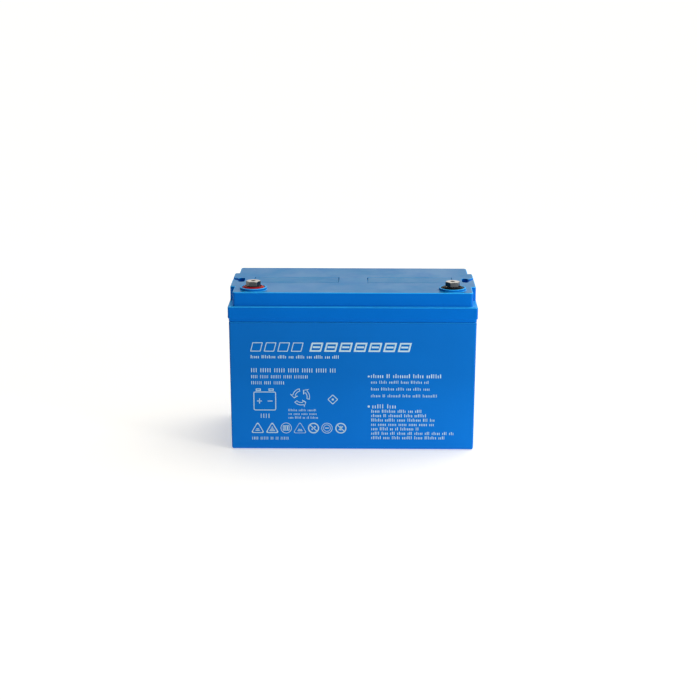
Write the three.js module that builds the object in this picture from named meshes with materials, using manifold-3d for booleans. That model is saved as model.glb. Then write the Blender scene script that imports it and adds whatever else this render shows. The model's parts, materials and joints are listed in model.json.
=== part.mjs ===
// Sealed 12 V, 100 Ah deep cycle battery of the absorbent glass mat (AGM) kind.
//
// Millimetres, +Z up. X runs along the length, the terminals are on the -Y side, and the origin is
// the middle of the base. Six cells stand in a row along X: cell 1 is at -X and holds the positive
// terminal, cell 6 is at +X and holds the negative one.

import * as THREE from 'three';
import { mergeVertices } from 'three/addons/utils/BufferGeometryUtils.js';
import Module from 'manifold-3d';

const wasm = await Module();
wasm.setup();

// ---------------------------------------------------------------- driving dimensions

const CLEARANCE = 0.3;
const WELD_DISTANCE = 1e-4;
const THROUGH = 1;

const CASE_BASE = { halfX: 161.3, halfY: 83.3 };
const CASE_TOP = { halfX: 162.8, halfY: 84.8 };
const CASE_CORNER = 3;
const CASE_BOTTOM_ROUND = 3.5;
const CASE_RIM_Z = 174.3;
const TONGUE_INSET = 2;
const TONGUE_TOP_Z = 188;
const FLOOR_Z = 4;

const CELL_COUNT = 6;
const CELL_WIDTH = 51;
const PARTITION = 2.2;
const CELL_PITCH = CELL_WIDTH + PARTITION;
const CELL_HALF_Y = 79.5;
const CELL_CORNER = 2;

const SEAM_TOP_Z = 175.4;
const FLANGE_BOTTOM_Z = 179.6;
const LEDGE_Z = 195.1;
const LID_TOP_Z = 214;
const FLANGE = { halfX: 164, halfY: 86 };
const FLANGE_CORNER = 3;
const FLANGE_ROUND = 0.8;
const UPPER_BLOCK = { halfX: 157.6, halfY: 82 };
const UPPER_CORNER = 4;
const LID_EDGE_ROUND = 1.2;
const LID_ROOF_Z = 209.5;
const HEADSPACE = { halfX: 153.5, halfY: 77.5 };

const END_PAD = { innerX: 140, outerX: 163.6, halfY: 44, corner: 3 };
const POCKET = { innerX: 147, outerX: 155.5, frontY: -14, rearY: 12, floorZ: 201 };
const POCKET_WALL = 3;
const CHANNEL = { floorZ: 207, frontY: -11, rearY: 5.2, exitFrontY: 7.5, exitRearY: 17 };

const COVER = { innerX: 20, outerX: 133.5, halfY: 16.5, thickness: 2.8, corner: 1.5, edge: 0.4 };
const COVER_GAP = 0.9;
const VALVE_X = [31, 77, 123];
const WELL = { radius: 8.5, wall: 2.5, floorZ: 200.4, floorThickness: 3 };
const CHIMNEY = { radius: 4.6, bore: 2.6, topZ: 208.2 };
const VALVE_CAP = { radius: 6.6, wall: 1.7, skirtZ: 201.2, roof: 1.8, grip: 0.5 };
const VENT_GROOVE = { halfWidth: 1, depth: 0.8 };

const TERMINAL_X = 131.3;
const TERMINAL_Y = -61;
const COLLAR = { outer: 17.8, inner: 15.4, topZ: 217.4, round: 0.6 };
const TERMINAL_WELL = { floorZ: 205, floorThickness: 4, wall: 3.1, stemHole: 7.4 };
const SEAL_RING = { inner: 10.6, lip: 11.3, bottomZ: 209.3, rimZ: 216.9, lipZ: 218.7 };
const INSERT = { head: 9.9, stem: 7, headZ: 205.5, topZ: 214.1, bottomZ: 190, boreZ: 194, bore: 5.3 };
const O_RING = { radius: 8.95, section: 1.1, z: 204.1, seat: 10.5, seatZ: 202.7 };

const WASHER = { radius: 10, bore: 5.4, thickness: 1.8 };
const SPRING_WASHER = { radius: 9, bore: 5.4, thickness: 2.1, slot: 1.2 };
const BOLT = { acrossFlats: 17, head: 6.4, shank: 5, length: 20, tip: 1, crown: 8.2, crownDrop: 5.5 };
const BOLT_DIMPLE = { radius: 2.1, depth: 1 };
const NEGATIVE_BOLT_TURN = THREE.MathUtils.degToRad(12);

const PLATE = { halfY: 75.5, bottomZ: 6, topZ: 150 };
const POSITIVE_PLATE = { count: 5, thickness: 3.2 };
const NEGATIVE_PLATE = { count: 6, thickness: 2.4 };
const PLATE_GAP = 1.95;
const PLATE_STEP = (POSITIVE_PLATE.thickness + NEGATIVE_PLATE.thickness) / 2 + PLATE_GAP;
const SEPARATOR = { thickness: 1.35, bottomZ: 4.4, topZ: 152, bendY: 75.6, bendSteps: 4 };
const LUG = { halfWidth: 6, overlap: 1 };
const STRAP = { centreY: 60, halfWidth: 9, bottomZ: 156, topZ: 163 };
const UPRIGHT = { thickness: 3.5, halfWidth: 8, topZ: 181 };
const CELL_WELD = { radius: 5.7, z: 172 };
const LEAD_POST = { radius: 8, foot: 9.5, footHeight: 3 };

const ROUND_STEPS = 32;
const SMALL_ROUND_STEPS = 16;
const RING_SECTION_STEPS = 8;
const OVAL_STEPS = 8;
const CORNER_STEPS = 4;
const SMALL_CORNER_STEPS = 3;
const EDGE_STEPS = 2;
const SMALLEST_CORNER = 0.5;

// ---------------------------------------------------------------- materials

const paint = (color, roughness, metalness) =>
  new THREE.MeshStandardMaterial({ color, roughness, metalness });

const CASE_BLUE = paint(0x1568be, 0.45, 0);
const LID_BLUE = paint(0x0560b8, 0.4, 0);
const COVER_BLUE = paint(0x0862ba, 0.45, 0);
const VALVE_RUBBER = paint(0x1d1e20, 0.8, 0);
const POSITIVE_RED = paint(0xb4202c, 0.3, 0);
const NEGATIVE_BLACK = paint(0x141416, 0.3, 0);
const BRIGHT_STEEL = paint(0xbdb7b0, 0.3, 1);
const TINNED_COPPER = paint(0xb9b4a8, 0.35, 1);
const LEAD = paint(0x6f7479, 0.6, 0.8);
const POSITIVE_PASTE = paint(0x4a3028, 0.85, 0);
const NEGATIVE_PASTE = paint(0x8b9095, 0.8, 0.1);
const GLASS_MAT = paint(0xeceae4, 0.95, 0);

// ---------------------------------------------------------------- solids and meshes

function solidOf(geometry) {
  const bare = geometry.index ? geometry.toNonIndexed() : geometry.clone();
  bare.deleteAttribute('normal');
  bare.deleteAttribute('uv');
  const merged = mergeVertices(bare, WELD_DISTANCE);
  const corners = [];
  for (let i = 0; i < merged.index.count; i += 3) {
    const [a, b, c] = [0, 1, 2].map((k) => merged.index.getX(i + k));
    if (a !== b && b !== c && c !== a) corners.push(a, b, c);
  }
  return new wasm.Manifold(
    new wasm.Mesh({
      numProp: 3,
      vertProperties: Float32Array.from(merged.attributes.position.array),
      triVerts: Uint32Array.from(corners),
    }),
  );
}

function meshOf(name, solid, material) {
  const { vertProperties, triVerts } = solid.getMesh();
  const geometry = new THREE.BufferGeometry();
  geometry.setAttribute('position', new THREE.BufferAttribute(vertProperties, 3));
  geometry.setIndex(new THREE.BufferAttribute(triVerts, 1));
  geometry.computeVertexNormals();
  const mesh = new THREE.Mesh(geometry, material);
  mesh.name = name;
  return mesh;
}

const join = (solids) => solids.reduce((whole, solid) => whole.add(solid));
const cut = (solid, tools) => tools.reduce((rest, tool) => rest.subtract(tool), solid);

// A box between two corners, given as [low, high] along each axis.
function block([x0, x1], [y0, y1], [z0, z1]) {
  const box = new THREE.BoxGeometry(x1 - x0, y1 - y0, z1 - z0);
  return solidOf(box.translate((x0 + x1) / 2, (y0 + y1) / 2, (z0 + z1) / 2));
}

// An outline in the XY plane pulled up from z0 to z1.
function prism(shape, z0, z1) {
  const options = { depth: z1 - z0, bevelEnabled: false, curveSegments: OVAL_STEPS };
  return solidOf(new THREE.ExtrudeGeometry(shape, options).translate(0, 0, z0));
}

// A profile of [radius, z] points, anticlockwise in that plane, turned about a vertical axis.
function turned(profile, x = 0, y = 0, steps = ROUND_STEPS) {
  const points = profile.map(([radius, z]) => new THREE.Vector2(radius, z));
  return solidOf(new THREE.LatheGeometry(points, steps).rotateX(Math.PI / 2).translate(x, y, 0));
}

function rod(radius, z0, z1, x = 0, y = 0, steps = ROUND_STEPS) {
  return turned([[0, z0], [radius, z0], [radius, z1], [0, z1]], x, y, steps);
}

function ring(inner, outer, z0, z1, x, y) {
  const profile = [[inner, z0], [outer, z0], [outer, z1], [inner, z1], [inner, z0]];
  return turned(profile, x, y, SMALL_ROUND_STEPS);
}

function cornerRing({ halfX, halfY, corner, z, centreX = 0, centreY = 0 }, steps) {
  const points = [];
  for (let quarter = 0; quarter < 4; quarter++) {
    const signX = quarter === 0 || quarter === 3 ? 1 : -1;
    const signY = quarter < 2 ? 1 : -1;
    for (let step = 0; step <= steps; step++) {
      const angle = ((quarter + step / steps) * Math.PI) / 2;
      const x = signX * (halfX - corner) + corner * Math.cos(angle);
      const y = signY * (halfY - corner) + corner * Math.sin(angle);
      points.push([centreX + x, centreY + y, z]);
    }
  }
  return points;
}

// A stack of rounded rectangles, lowest first, skinned into one closed body.
function loft(sections, steps = CORNER_STEPS) {
  const rings = sections.map((section) => cornerRing(section, steps));
  const count = rings[0].length;
  const index = [];
  for (let level = 0; level + 1 < rings.length; level++) {
    for (let i = 0; i < count; i++) {
      const next = (i + 1) % count;
      const [a, b] = [level * count + i, level * count + next];
      index.push(a, b, b + count, a, b + count, a + count);
    }
  }
  const top = (rings.length - 1) * count;
  for (let i = 1; i + 1 < count; i++) {
    index.push(0, i + 1, i);
    index.push(top, top + i, top + i + 1);
  }
  const geometry = new THREE.BufferGeometry();
  geometry.setAttribute('position', new THREE.Float32BufferAttribute(rings.flat(2), 3));
  geometry.setIndex(index);
  return solidOf(geometry);
}

// The sections that round the edge at height z over a given radius, inwards to the flat.
function roundedEdge(section, z, radius, direction, steps = EDGE_STEPS) {
  const sections = [];
  for (let step = 0; step <= steps; step++) {
    const angle = ((step / steps) * Math.PI) / 2;
    const inset = radius * (1 - Math.cos(angle));
    sections.push({
      ...section,
      halfX: section.halfX - inset,
      halfY: section.halfY - inset,
      corner: Math.max(section.corner - inset, SMALLEST_CORNER),
      z: z - direction * radius * (1 - Math.sin(angle)),
    });
  }
  return direction > 0 ? sections : sections.reverse();
}

// ---------------------------------------------------------------- where the cells and terminals are

const cellX = (cell) => (cell - (CELL_COUNT + 1) / 2) * CELL_PITCH;
const cellNumbers = Array.from({ length: CELL_COUNT }, (_, i) => i + 1);
const partitionNumbers = cellNumbers.slice(0, -1);
const partitionX = (partition) => cellX(partition) + CELL_PITCH / 2;

// The straps swap sides from cell to cell, so that each weld joins two straps on the same side.
const strapSide = (cell, polarity) => ((cell % 2 === 1) === (polarity === 'positive') ? -1 : 1);

const TERMINALS = [
  { polarity: 'positive', x: -TERMINAL_X, cell: 1 },
  { polarity: 'negative', x: TERMINAL_X, cell: CELL_COUNT },
];
const SIDES = [
  { name: 'left', sign: -1 },
  { name: 'right', sign: 1 },
];

// [low, high] of a stretch along X that is given outwards from the middle.
const stretch = (sign, inner, outer) => (sign < 0 ? [-outer, -inner] : [inner, outer]);

// ---------------------------------------------------------------- container

function weldHole(partition) {
  const side = strapSide(partition, 'negative');
  const hole = new THREE.CylinderGeometry(
    CELL_WELD.radius + CLEARANCE,
    CELL_WELD.radius + CLEARANCE,
    PARTITION + 2 * THROUGH,
    SMALL_ROUND_STEPS,
  );
  hole.rotateZ(Math.PI / 2);
  return solidOf(hole.translate(partitionX(partition), side * STRAP.centreY, CELL_WELD.z));
}

function cellHollow(cell) {
  const section = {
    halfX: CELL_WIDTH / 2,
    halfY: CELL_HALF_Y,
    corner: CELL_CORNER,
    centreX: cellX(cell),
  };
  return loft([
    { ...section, z: FLOOR_Z },
    { ...section, z: TONGUE_TOP_Z + THROUGH },
  ], SMALL_CORNER_STEPS);
}

function container() {
  const bottom = { ...CASE_BASE, corner: CASE_CORNER };
  const rim = { ...CASE_TOP, corner: CASE_CORNER, z: CASE_RIM_Z };
  const shell = loft([...roundedEdge(bottom, 0, CASE_BOTTOM_ROUND, -1), rim]);
  const tongueSection = {
    halfX: CASE_TOP.halfX - TONGUE_INSET,
    halfY: CASE_TOP.halfY - TONGUE_INSET,
    corner: CASE_CORNER,
  };
  const tongue = loft([
    { ...tongueSection, z: CASE_RIM_Z - THROUGH },
    { ...tongueSection, z: TONGUE_TOP_Z },
  ]);
  const hollows = cellNumbers.map(cellHollow);
  const solid = cut(shell.add(tongue), [...hollows, ...partitionNumbers.map(weldHole)]);
  return meshOf('container', solid, CASE_BLUE);
}

// ---------------------------------------------------------------- lid

function lidOutside() {
  const skirt = { ...CASE_TOP, corner: CASE_CORNER };
  const flange = { ...FLANGE, corner: FLANGE_CORNER };
  const upper = { ...UPPER_BLOCK, corner: UPPER_CORNER };
  const parts = [
    loft([{ ...skirt, z: SEAM_TOP_Z }, { ...skirt, z: FLANGE_BOTTOM_Z + THROUGH }]),
    loft([
      ...roundedEdge(flange, FLANGE_BOTTOM_Z, FLANGE_ROUND, -1),
      ...roundedEdge(flange, LEDGE_Z, FLANGE_ROUND, 1),
    ]),
    loft([
      { ...upper, z: LEDGE_Z - THROUGH },
      ...roundedEdge(upper, LID_TOP_Z, LID_EDGE_ROUND, 1),
    ]),
  ];
  for (const { sign } of SIDES) parts.push(endPad(sign));
  for (const { x } of TERMINALS) parts.push(terminalCollar(x));
  return join(parts);
}

// The raised block at each end that the handle pocket is sunk into.
function endPad(sign) {
  const section = {
    halfX: (END_PAD.outerX - END_PAD.innerX) / 2,
    halfY: END_PAD.halfY,
    corner: END_PAD.corner,
    centreX: (sign * (END_PAD.outerX + END_PAD.innerX)) / 2,
  };
  return loft([
    { ...section, z: LEDGE_Z - THROUGH },
    ...roundedEdge(section, LID_TOP_Z, LID_EDGE_ROUND, 1),
  ]);
}

function terminalCollar(x) {
  const { outer, topZ, round } = COLLAR;
  const profile = [
    [0, LID_ROOF_Z],
    [outer, LID_ROOF_Z],
    [outer, topZ - round],
    [outer - round, topZ],
    [0, topZ],
  ];
  return turned(profile, x, TERMINAL_Y);
}

// The space over one cell, less the wells and pockets that hang down into it.
function headspace(cell) {
  const outer = Math.min(Math.abs(cellX(cell)) + CELL_WIDTH / 2, HEADSPACE.halfX);
  const inner = Math.abs(cellX(cell)) - CELL_WIDTH / 2;
  const sign = Math.sign(cellX(cell));
  const hollow = block(
    stretch(sign, inner, outer),
    [-HEADSPACE.halfY, HEADSPACE.halfY],
    [TONGUE_TOP_Z + CLEARANCE - THROUGH, LID_ROOF_Z],
  );
  const { radius, wall, floorZ, floorThickness } = WELL;
  const kept = VALVE_X.map((x) =>
    rod(radius + wall, floorZ - floorThickness, LID_TOP_Z, sign * x, 0, SMALL_ROUND_STEPS),
  );
  const terminalBottom = TERMINAL_WELL.floorZ - TERMINAL_WELL.floorThickness;
  for (const { x } of TERMINALS) {
    kept.push(rod(COLLAR.inner + TERMINAL_WELL.wall, terminalBottom, LID_TOP_Z, x, TERMINAL_Y));
  }
  kept.push(block(
    stretch(sign, POCKET.innerX - POCKET_WALL, HEADSPACE.halfX + THROUGH),
    [POCKET.frontY - POCKET_WALL, POCKET.rearY + POCKET_WALL],
    [POCKET.floorZ - POCKET_WALL, LID_TOP_Z],
  ));
  return cut(hollow, kept);
}

// The groove that takes the container's rim.
function rimSocket() {
  const section = {
    halfX: CASE_TOP.halfX - TONGUE_INSET + CLEARANCE,
    halfY: CASE_TOP.halfY - TONGUE_INSET + CLEARANCE,
    corner: CASE_CORNER,
  };
  return loft([
    { ...section, z: SEAM_TOP_Z - THROUGH },
    { ...section, z: TONGUE_TOP_Z + CLEARANCE },
  ]);
}

// An oval pocket for a carrying strap, with a slanted channel that lets the strap out at the end.
function handlePocket(sign) {
  const radius = (POCKET.outerX - POCKET.innerX) / 2;
  const middleX = (sign * (POCKET.outerX + POCKET.innerX)) / 2;
  const oval = new THREE.Shape();
  oval.absarc(middleX, POCKET.rearY - radius, radius, 0, Math.PI, false);
  oval.absarc(middleX, POCKET.frontY + radius, radius, Math.PI, 2 * Math.PI, false);
  const startX = sign * (POCKET.outerX - radius / 2);
  const exitX = sign * (END_PAD.outerX + THROUGH);
  const channel = new THREE.Shape([
    new THREE.Vector2(startX, CHANNEL.frontY),
    new THREE.Vector2(exitX, CHANNEL.exitFrontY),
    new THREE.Vector2(exitX, CHANNEL.exitRearY),
    new THREE.Vector2(startX, CHANNEL.rearY),
  ]);
  const topZ = LID_TOP_Z + THROUGH;
  return prism(oval, POCKET.floorZ, topZ).add(prism(channel, CHANNEL.floorZ, topZ));
}

// The shallow recess for a vent cover, with a well for each valve and a groove that lets gas out.
function ventRecess(sign) {
  const floorZ = LID_TOP_Z - COVER.thickness - CLEARANCE;
  const section = {
    halfX: (COVER.outerX - COVER.innerX) / 2 + COVER_GAP,
    halfY: COVER.halfY + COVER_GAP,
    corner: COVER.corner,
    centreX: (sign * (COVER.outerX + COVER.innerX)) / 2,
  };
  const groove = block(
    stretch(sign, VALVE_X[0], COVER.outerX + COVER_GAP),
    [-VENT_GROOVE.halfWidth, VENT_GROOVE.halfWidth],
    [floorZ - VENT_GROOVE.depth, floorZ + THROUGH],
  );
  const parts = [
    loft([{ ...section, z: floorZ }, { ...section, z: LID_TOP_Z + THROUGH }], SMALL_CORNER_STEPS),
    groove,
  ];
  for (const x of VALVE_X) parts.push(valveWell(sign * x, floorZ + THROUGH));
  return join(parts);
}

// The well is bored out around a chimney, which is bored right through to the cell below.
function valveWell(x, topZ) {
  const well = rod(WELL.radius, WELL.floorZ, topZ, x, 0, SMALL_ROUND_STEPS);
  const chimney = rod(CHIMNEY.radius, WELL.floorZ - THROUGH, CHIMNEY.topZ, x, 0, SMALL_ROUND_STEPS);
  const underside = WELL.floorZ - WELL.floorThickness;
  const bore = rod(CHIMNEY.bore, underside - THROUGH, topZ, x, 0, SMALL_ROUND_STEPS);
  return well.subtract(chimney).add(bore);
}

function terminalHole(x) {
  const { floorZ, floorThickness, stemHole } = TERMINAL_WELL;
  return join([
    rod(COLLAR.inner, floorZ, COLLAR.topZ + THROUGH, x, TERMINAL_Y),
    rod(O_RING.seat, O_RING.seatZ, floorZ + THROUGH, x, TERMINAL_Y),
    rod(stemHole, floorZ - floorThickness - THROUGH, floorZ, x, TERMINAL_Y),
  ]);
}

function lid() {
  const hollows = [
    rimSocket(),
    ...cellNumbers.map(headspace),
    ...SIDES.map(({ sign }) => handlePocket(sign)),
    ...SIDES.map(({ sign }) => ventRecess(sign)),
    ...TERMINALS.map(({ x }) => terminalHole(x)),
  ];
  return meshOf('lid', cut(lidOutside(), hollows), LID_BLUE);
}

// ---------------------------------------------------------------- vent covers and valves

function ventCover({ name, sign }) {
  const section = {
    halfX: (COVER.outerX - COVER.innerX) / 2,
    halfY: COVER.halfY,
    corner: COVER.corner,
    centreX: (sign * (COVER.outerX + COVER.innerX)) / 2,
  };
  const face = {
    ...section,
    halfX: section.halfX - COVER.edge,
    halfY: section.halfY - COVER.edge,
  };
  const solid = loft([
    { ...section, z: LID_TOP_Z - COVER.thickness },
    { ...section, z: LID_TOP_Z - COVER.edge },
    { ...face, z: LID_TOP_Z },
  ], SMALL_CORNER_STEPS);
  return meshOf(`vent_cover_${name}`, solid, COVER_BLUE);
}

function valveCap(number, x) {
  const { radius, wall, skirtZ, roof, grip } = VALVE_CAP;
  const inner = radius - wall;
  const ceilingZ = CHIMNEY.topZ + CLEARANCE;
  const topZ = ceilingZ + roof;
  const profile = [
    [inner, skirtZ],
    [radius + grip, skirtZ],
    [radius + grip, skirtZ + wall],
    [radius, skirtZ + wall],
    [radius, topZ - grip],
    [radius - grip, topZ],
    [0, topZ],
    [0, ceilingZ],
    [inner, ceilingZ],
    [inner, skirtZ],
  ];
  return meshOf(`valve_cap_${number}`, turned(profile, x, 0, SMALL_ROUND_STEPS), VALVE_RUBBER);
}

function valveCaps() {
  const places = [...VALVE_X.map((x) => -x).reverse(), ...VALVE_X];
  return places.map((x, i) => valveCap(i + 1, x));
}

// ---------------------------------------------------------------- terminals

function terminalInsert({ polarity, x }) {
  const { head, stem, headZ, topZ, bottomZ, boreZ, bore } = INSERT;
  const profile = [
    [0, bottomZ],
    [stem, bottomZ],
    [stem, headZ],
    [head, headZ],
    [head, topZ],
    [bore, topZ],
    [bore, boreZ],
    [0, boreZ],
  ];
  const solid = turned(profile, x, TERMINAL_Y, SMALL_ROUND_STEPS);
  return meshOf(`terminal_insert_${polarity}`, solid, TINNED_COPPER);
}

function sealRing({ polarity, x }) {
  const { inner, lip, bottomZ, rimZ, lipZ } = SEAL_RING;
  const outer = COLLAR.inner - CLEARANCE;
  const profile = [
    [inner, bottomZ],
    [outer, bottomZ],
    [outer, rimZ],
    [lip, lipZ],
    [inner, lipZ],
    [inner, bottomZ],
  ];
  const material = polarity === 'positive' ? POSITIVE_RED : NEGATIVE_BLACK;
  return meshOf(`seal_ring_${polarity}`, turned(profile, x, TERMINAL_Y), material);
}

function oRing({ polarity, x }) {
  const torus = new THREE.TorusGeometry(
    O_RING.radius,
    O_RING.section,
    RING_SECTION_STEPS,
    SMALL_ROUND_STEPS,
  );
  const solid = solidOf(torus.translate(x, TERMINAL_Y, O_RING.z));
  return meshOf(`o_ring_${polarity}`, solid, VALVE_RUBBER);
}

const washerZ = INSERT.topZ + CLEARANCE;
const springWasherZ = washerZ + WASHER.thickness + CLEARANCE;
const boltHeadZ = springWasherZ + SPRING_WASHER.thickness + CLEARANCE;

function flatWasher({ polarity, x }) {
  const { bore, radius, thickness } = WASHER;
  const solid = ring(bore, radius, washerZ, washerZ + thickness, x, TERMINAL_Y);
  return meshOf(`flat_washer_${polarity}`, solid, BRIGHT_STEEL);
}

function springWasher({ polarity, x }) {
  const { bore, radius, thickness, slot } = SPRING_WASHER;
  const whole = ring(bore, radius, springWasherZ, springWasherZ + thickness, x, TERMINAL_Y);
  const split = block(
    [x + bore - THROUGH, x + radius + THROUGH],
    [TERMINAL_Y - slot / 2, TERMINAL_Y + slot / 2],
    [springWasherZ - THROUGH, springWasherZ + thickness + THROUGH],
  );
  return meshOf(`spring_washer_${polarity}`, whole.subtract(split), BRIGHT_STEEL);
}

function hexHead(turn) {
  const hexagon = new THREE.CylinderGeometry(
    BOLT.acrossFlats / Math.sqrt(3),
    BOLT.acrossFlats / Math.sqrt(3),
    BOLT.head,
    6,
  );
  hexagon.rotateY(Math.PI / 6 + turn);
  hexagon.rotateX(Math.PI / 2);
  const top = BOLT.head / 2;
  const crown = turned([
    [0, -top],
    [BOLT.acrossFlats, -top],
    [BOLT.acrossFlats, top - BOLT.crownDrop],
    [BOLT.crown, top],
    [0, top],
  ]);
  const dimple = turned([
    [0, top - BOLT_DIMPLE.depth],
    [2 * BOLT_DIMPLE.radius, top + BOLT_DIMPLE.depth],
    [0, top + BOLT_DIMPLE.depth],
  ]);
  return solidOf(hexagon).intersect(crown).subtract(dimple);
}

function terminalBolt({ polarity, x }) {
  const { head, shank, length, tip } = BOLT;
  const middleZ = boltHeadZ + head / 2;
  const body = turned([
    [0, boltHeadZ - length],
    [shank - tip, boltHeadZ - length],
    [shank, boltHeadZ - length + tip],
    [shank, boltHeadZ + head / 2],
    [0, boltHeadZ + head / 2],
  ], 0, 0, SMALL_ROUND_STEPS);
  const turn = polarity === 'negative' ? NEGATIVE_BOLT_TURN : 0;
  const headSolid = hexHead(turn).translate([0, 0, middleZ]);
  const solid = headSolid.add(body).translate([x, TERMINAL_Y, 0]);
  return meshOf(`terminal_bolt_${polarity}`, solid, BRIGHT_STEEL);
}

function leadPost({ polarity, x }) {
  const { radius, foot, footHeight } = LEAD_POST;
  const bottomZ = STRAP.topZ + CLEARANCE;
  const topZ = INSERT.bottomZ - CLEARANCE;
  const profile = [
    [0, bottomZ],
    [foot, bottomZ],
    [radius, bottomZ + footHeight],
    [radius, topZ],
    [0, topZ],
  ];
  return meshOf(`lead_post_${polarity}`, turned(profile, x, TERMINAL_Y, SMALL_ROUND_STEPS), LEAD);
}

// ---------------------------------------------------------------- plates, separators and welds

// One polarity's plates in one cell, cast onto a strap, with an upright beside each welded wall.
function plateGroup(cell, polarity) {
  const { count, thickness } = polarity === 'positive' ? POSITIVE_PLATE : NEGATIVE_PLATE;
  const side = strapSide(cell, polarity);
  const middleX = cellX(cell);
  const y = [side * STRAP.centreY - STRAP.halfWidth, side * STRAP.centreY + STRAP.halfWidth];
  const endX = ((count - 1) / 2) * 2 * PLATE_STEP + thickness / 2;
  const strapX = [middleX - endX, middleX + endX];
  const parts = [];
  for (let i = 0; i < count; i++) {
    const x = middleX + (i - (count - 1) / 2) * 2 * PLATE_STEP;
    const plateX = [x - thickness / 2, x + thickness / 2];
    const lugY = [side * STRAP.centreY - LUG.halfWidth, side * STRAP.centreY + LUG.halfWidth];
    parts.push(block(plateX, [-PLATE.halfY, PLATE.halfY], [PLATE.bottomZ, PLATE.topZ]));
    parts.push(block(plateX, lugY, [PLATE.topZ - LUG.overlap, STRAP.bottomZ + LUG.overlap]));
  }
  const towards = polarity === 'positive' ? -1 : 1;
  const atTerminal = TERMINALS.some((end) => end.cell === cell && end.polarity === polarity);
  if (!atTerminal) {
    const wallX = middleX + towards * (CELL_WIDTH / 2 - CLEARANCE);
    const uprightX = [wallX, wallX - towards * UPRIGHT.thickness].sort((a, b) => a - b);
    const uprightY = [side * STRAP.centreY - UPRIGHT.halfWidth, side * STRAP.centreY + UPRIGHT.halfWidth];
    parts.push(block(uprightX, uprightY, [STRAP.bottomZ, UPRIGHT.topZ]));
    strapX[towards < 0 ? 0 : 1] = wallX;
  }
  parts.push(block(strapX, y, [STRAP.bottomZ, STRAP.topZ]));
  const material = polarity === 'positive' ? POSITIVE_PASTE : NEGATIVE_PASTE;
  return meshOf(`${polarity}_plates_${cell}`, join(parts), material);
}

// One long glass mat, folded to and fro between the plates of a cell.
function separator(cell) {
  const half = SEPARATOR.thickness / 2;
  const fromPositive = (POSITIVE_PLATE.thickness + PLATE_GAP) / 2;
  const legs = [];
  for (let i = 0; i < POSITIVE_PLATE.count; i++) {
    const plateX = (i - (POSITIVE_PLATE.count - 1) / 2) * 2 * PLATE_STEP;
    legs.push(plateX - fromPositive, plateX + fromPositive);
  }
  const edge = (side) => {
    const points = [[legs[0] - side * half, -SEPARATOR.bendY]];
    legs.slice(0, -1).forEach((legX, i) => {
      const along = i % 2 === 0 ? 1 : -1;
      const bendRadius = (legs[i + 1] - legX) / 2;
      const radius = bendRadius + side * along * half;
      for (let step = 0; step <= SEPARATOR.bendSteps; step++) {
        const angle = Math.PI * (1 - (along * step) / SEPARATOR.bendSteps);
        const x = legX + bendRadius + radius * Math.cos(angle);
        points.push([x, along * SEPARATOR.bendY + radius * Math.sin(angle)]);
      }
    });
    const lastAlong = legs.length % 2 === 1 ? 1 : -1;
    points.push([legs.at(-1) - side * lastAlong * half, lastAlong * SEPARATOR.bendY]);
    return points;
  };
  const outline = [...edge(1), ...edge(-1).reverse()].reverse();
  const shape = new THREE.Shape(outline.map(([x, y]) => new THREE.Vector2(cellX(cell) + x, y)));
  const solid = prism(shape, SEPARATOR.bottomZ, SEPARATOR.topZ);
  return meshOf(`separator_mat_${cell}`, solid, GLASS_MAT);
}

function cellWeld(partition) {
  const side = strapSide(partition, 'negative');
  const slug = new THREE.CylinderGeometry(
    CELL_WELD.radius,
    CELL_WELD.radius,
    PARTITION,
    SMALL_ROUND_STEPS,
  );
  slug.rotateZ(Math.PI / 2);
  slug.translate(partitionX(partition), side * STRAP.centreY, CELL_WELD.z);
  return meshOf(`cell_weld_${partition}_${partition + 1}`, solidOf(slug), LEAD);
}

// ---------------------------------------------------------------- the battery

const battery = new THREE.Group();
battery.add(container(), lid());
battery.add(...SIDES.map(ventCover));
battery.add(...valveCaps());
for (const makeTerminalPiece of [
  terminalInsert,
  sealRing,
  oRing,
  flatWasher,
  springWasher,
  terminalBolt,
  leadPost,
]) {
  battery.add(...TERMINALS.map(makeTerminalPiece));
}
for (const cell of cellNumbers) {
  battery.add(plateGroup(cell, 'positive'), plateGroup(cell, 'negative'), separator(cell));
}
battery.add(...partitionNumbers.map(cellWeld));

export default battery;
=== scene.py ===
"""A sealed deep cycle battery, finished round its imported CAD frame. Metres, +Z up, front towards -Y."""

import json
import math

import bmesh
import bpy
from mathutils import Matrix, Vector


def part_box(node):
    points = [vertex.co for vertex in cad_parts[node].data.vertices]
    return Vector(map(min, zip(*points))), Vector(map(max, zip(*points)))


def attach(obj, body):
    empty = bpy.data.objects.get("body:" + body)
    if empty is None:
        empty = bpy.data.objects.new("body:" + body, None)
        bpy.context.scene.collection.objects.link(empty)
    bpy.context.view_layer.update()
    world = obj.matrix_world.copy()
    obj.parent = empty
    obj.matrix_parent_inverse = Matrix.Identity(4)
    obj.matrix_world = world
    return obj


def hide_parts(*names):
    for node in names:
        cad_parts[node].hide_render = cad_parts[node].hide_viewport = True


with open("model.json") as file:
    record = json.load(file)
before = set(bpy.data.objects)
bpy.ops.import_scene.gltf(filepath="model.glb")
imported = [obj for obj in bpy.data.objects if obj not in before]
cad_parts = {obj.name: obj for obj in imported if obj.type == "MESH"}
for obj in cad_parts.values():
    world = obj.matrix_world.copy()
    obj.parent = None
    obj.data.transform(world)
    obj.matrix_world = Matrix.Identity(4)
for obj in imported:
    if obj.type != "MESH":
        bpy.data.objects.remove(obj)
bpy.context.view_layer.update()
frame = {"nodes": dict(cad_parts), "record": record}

MM = 0.001
MOUNTS = {mount["name"]: mount for mount in frame["record"]["mounts"]}

# ---------- sizes and places


def middle(node):
    """Centre of a CAD node's box."""
    low, high = (Vector(corner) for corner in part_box(node))
    return (low + high) / 2


def half_size(node):
    """Half of a CAD node's size along each axis."""
    low, high = (Vector(corner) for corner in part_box(node))
    return (high - low) / 2


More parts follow.
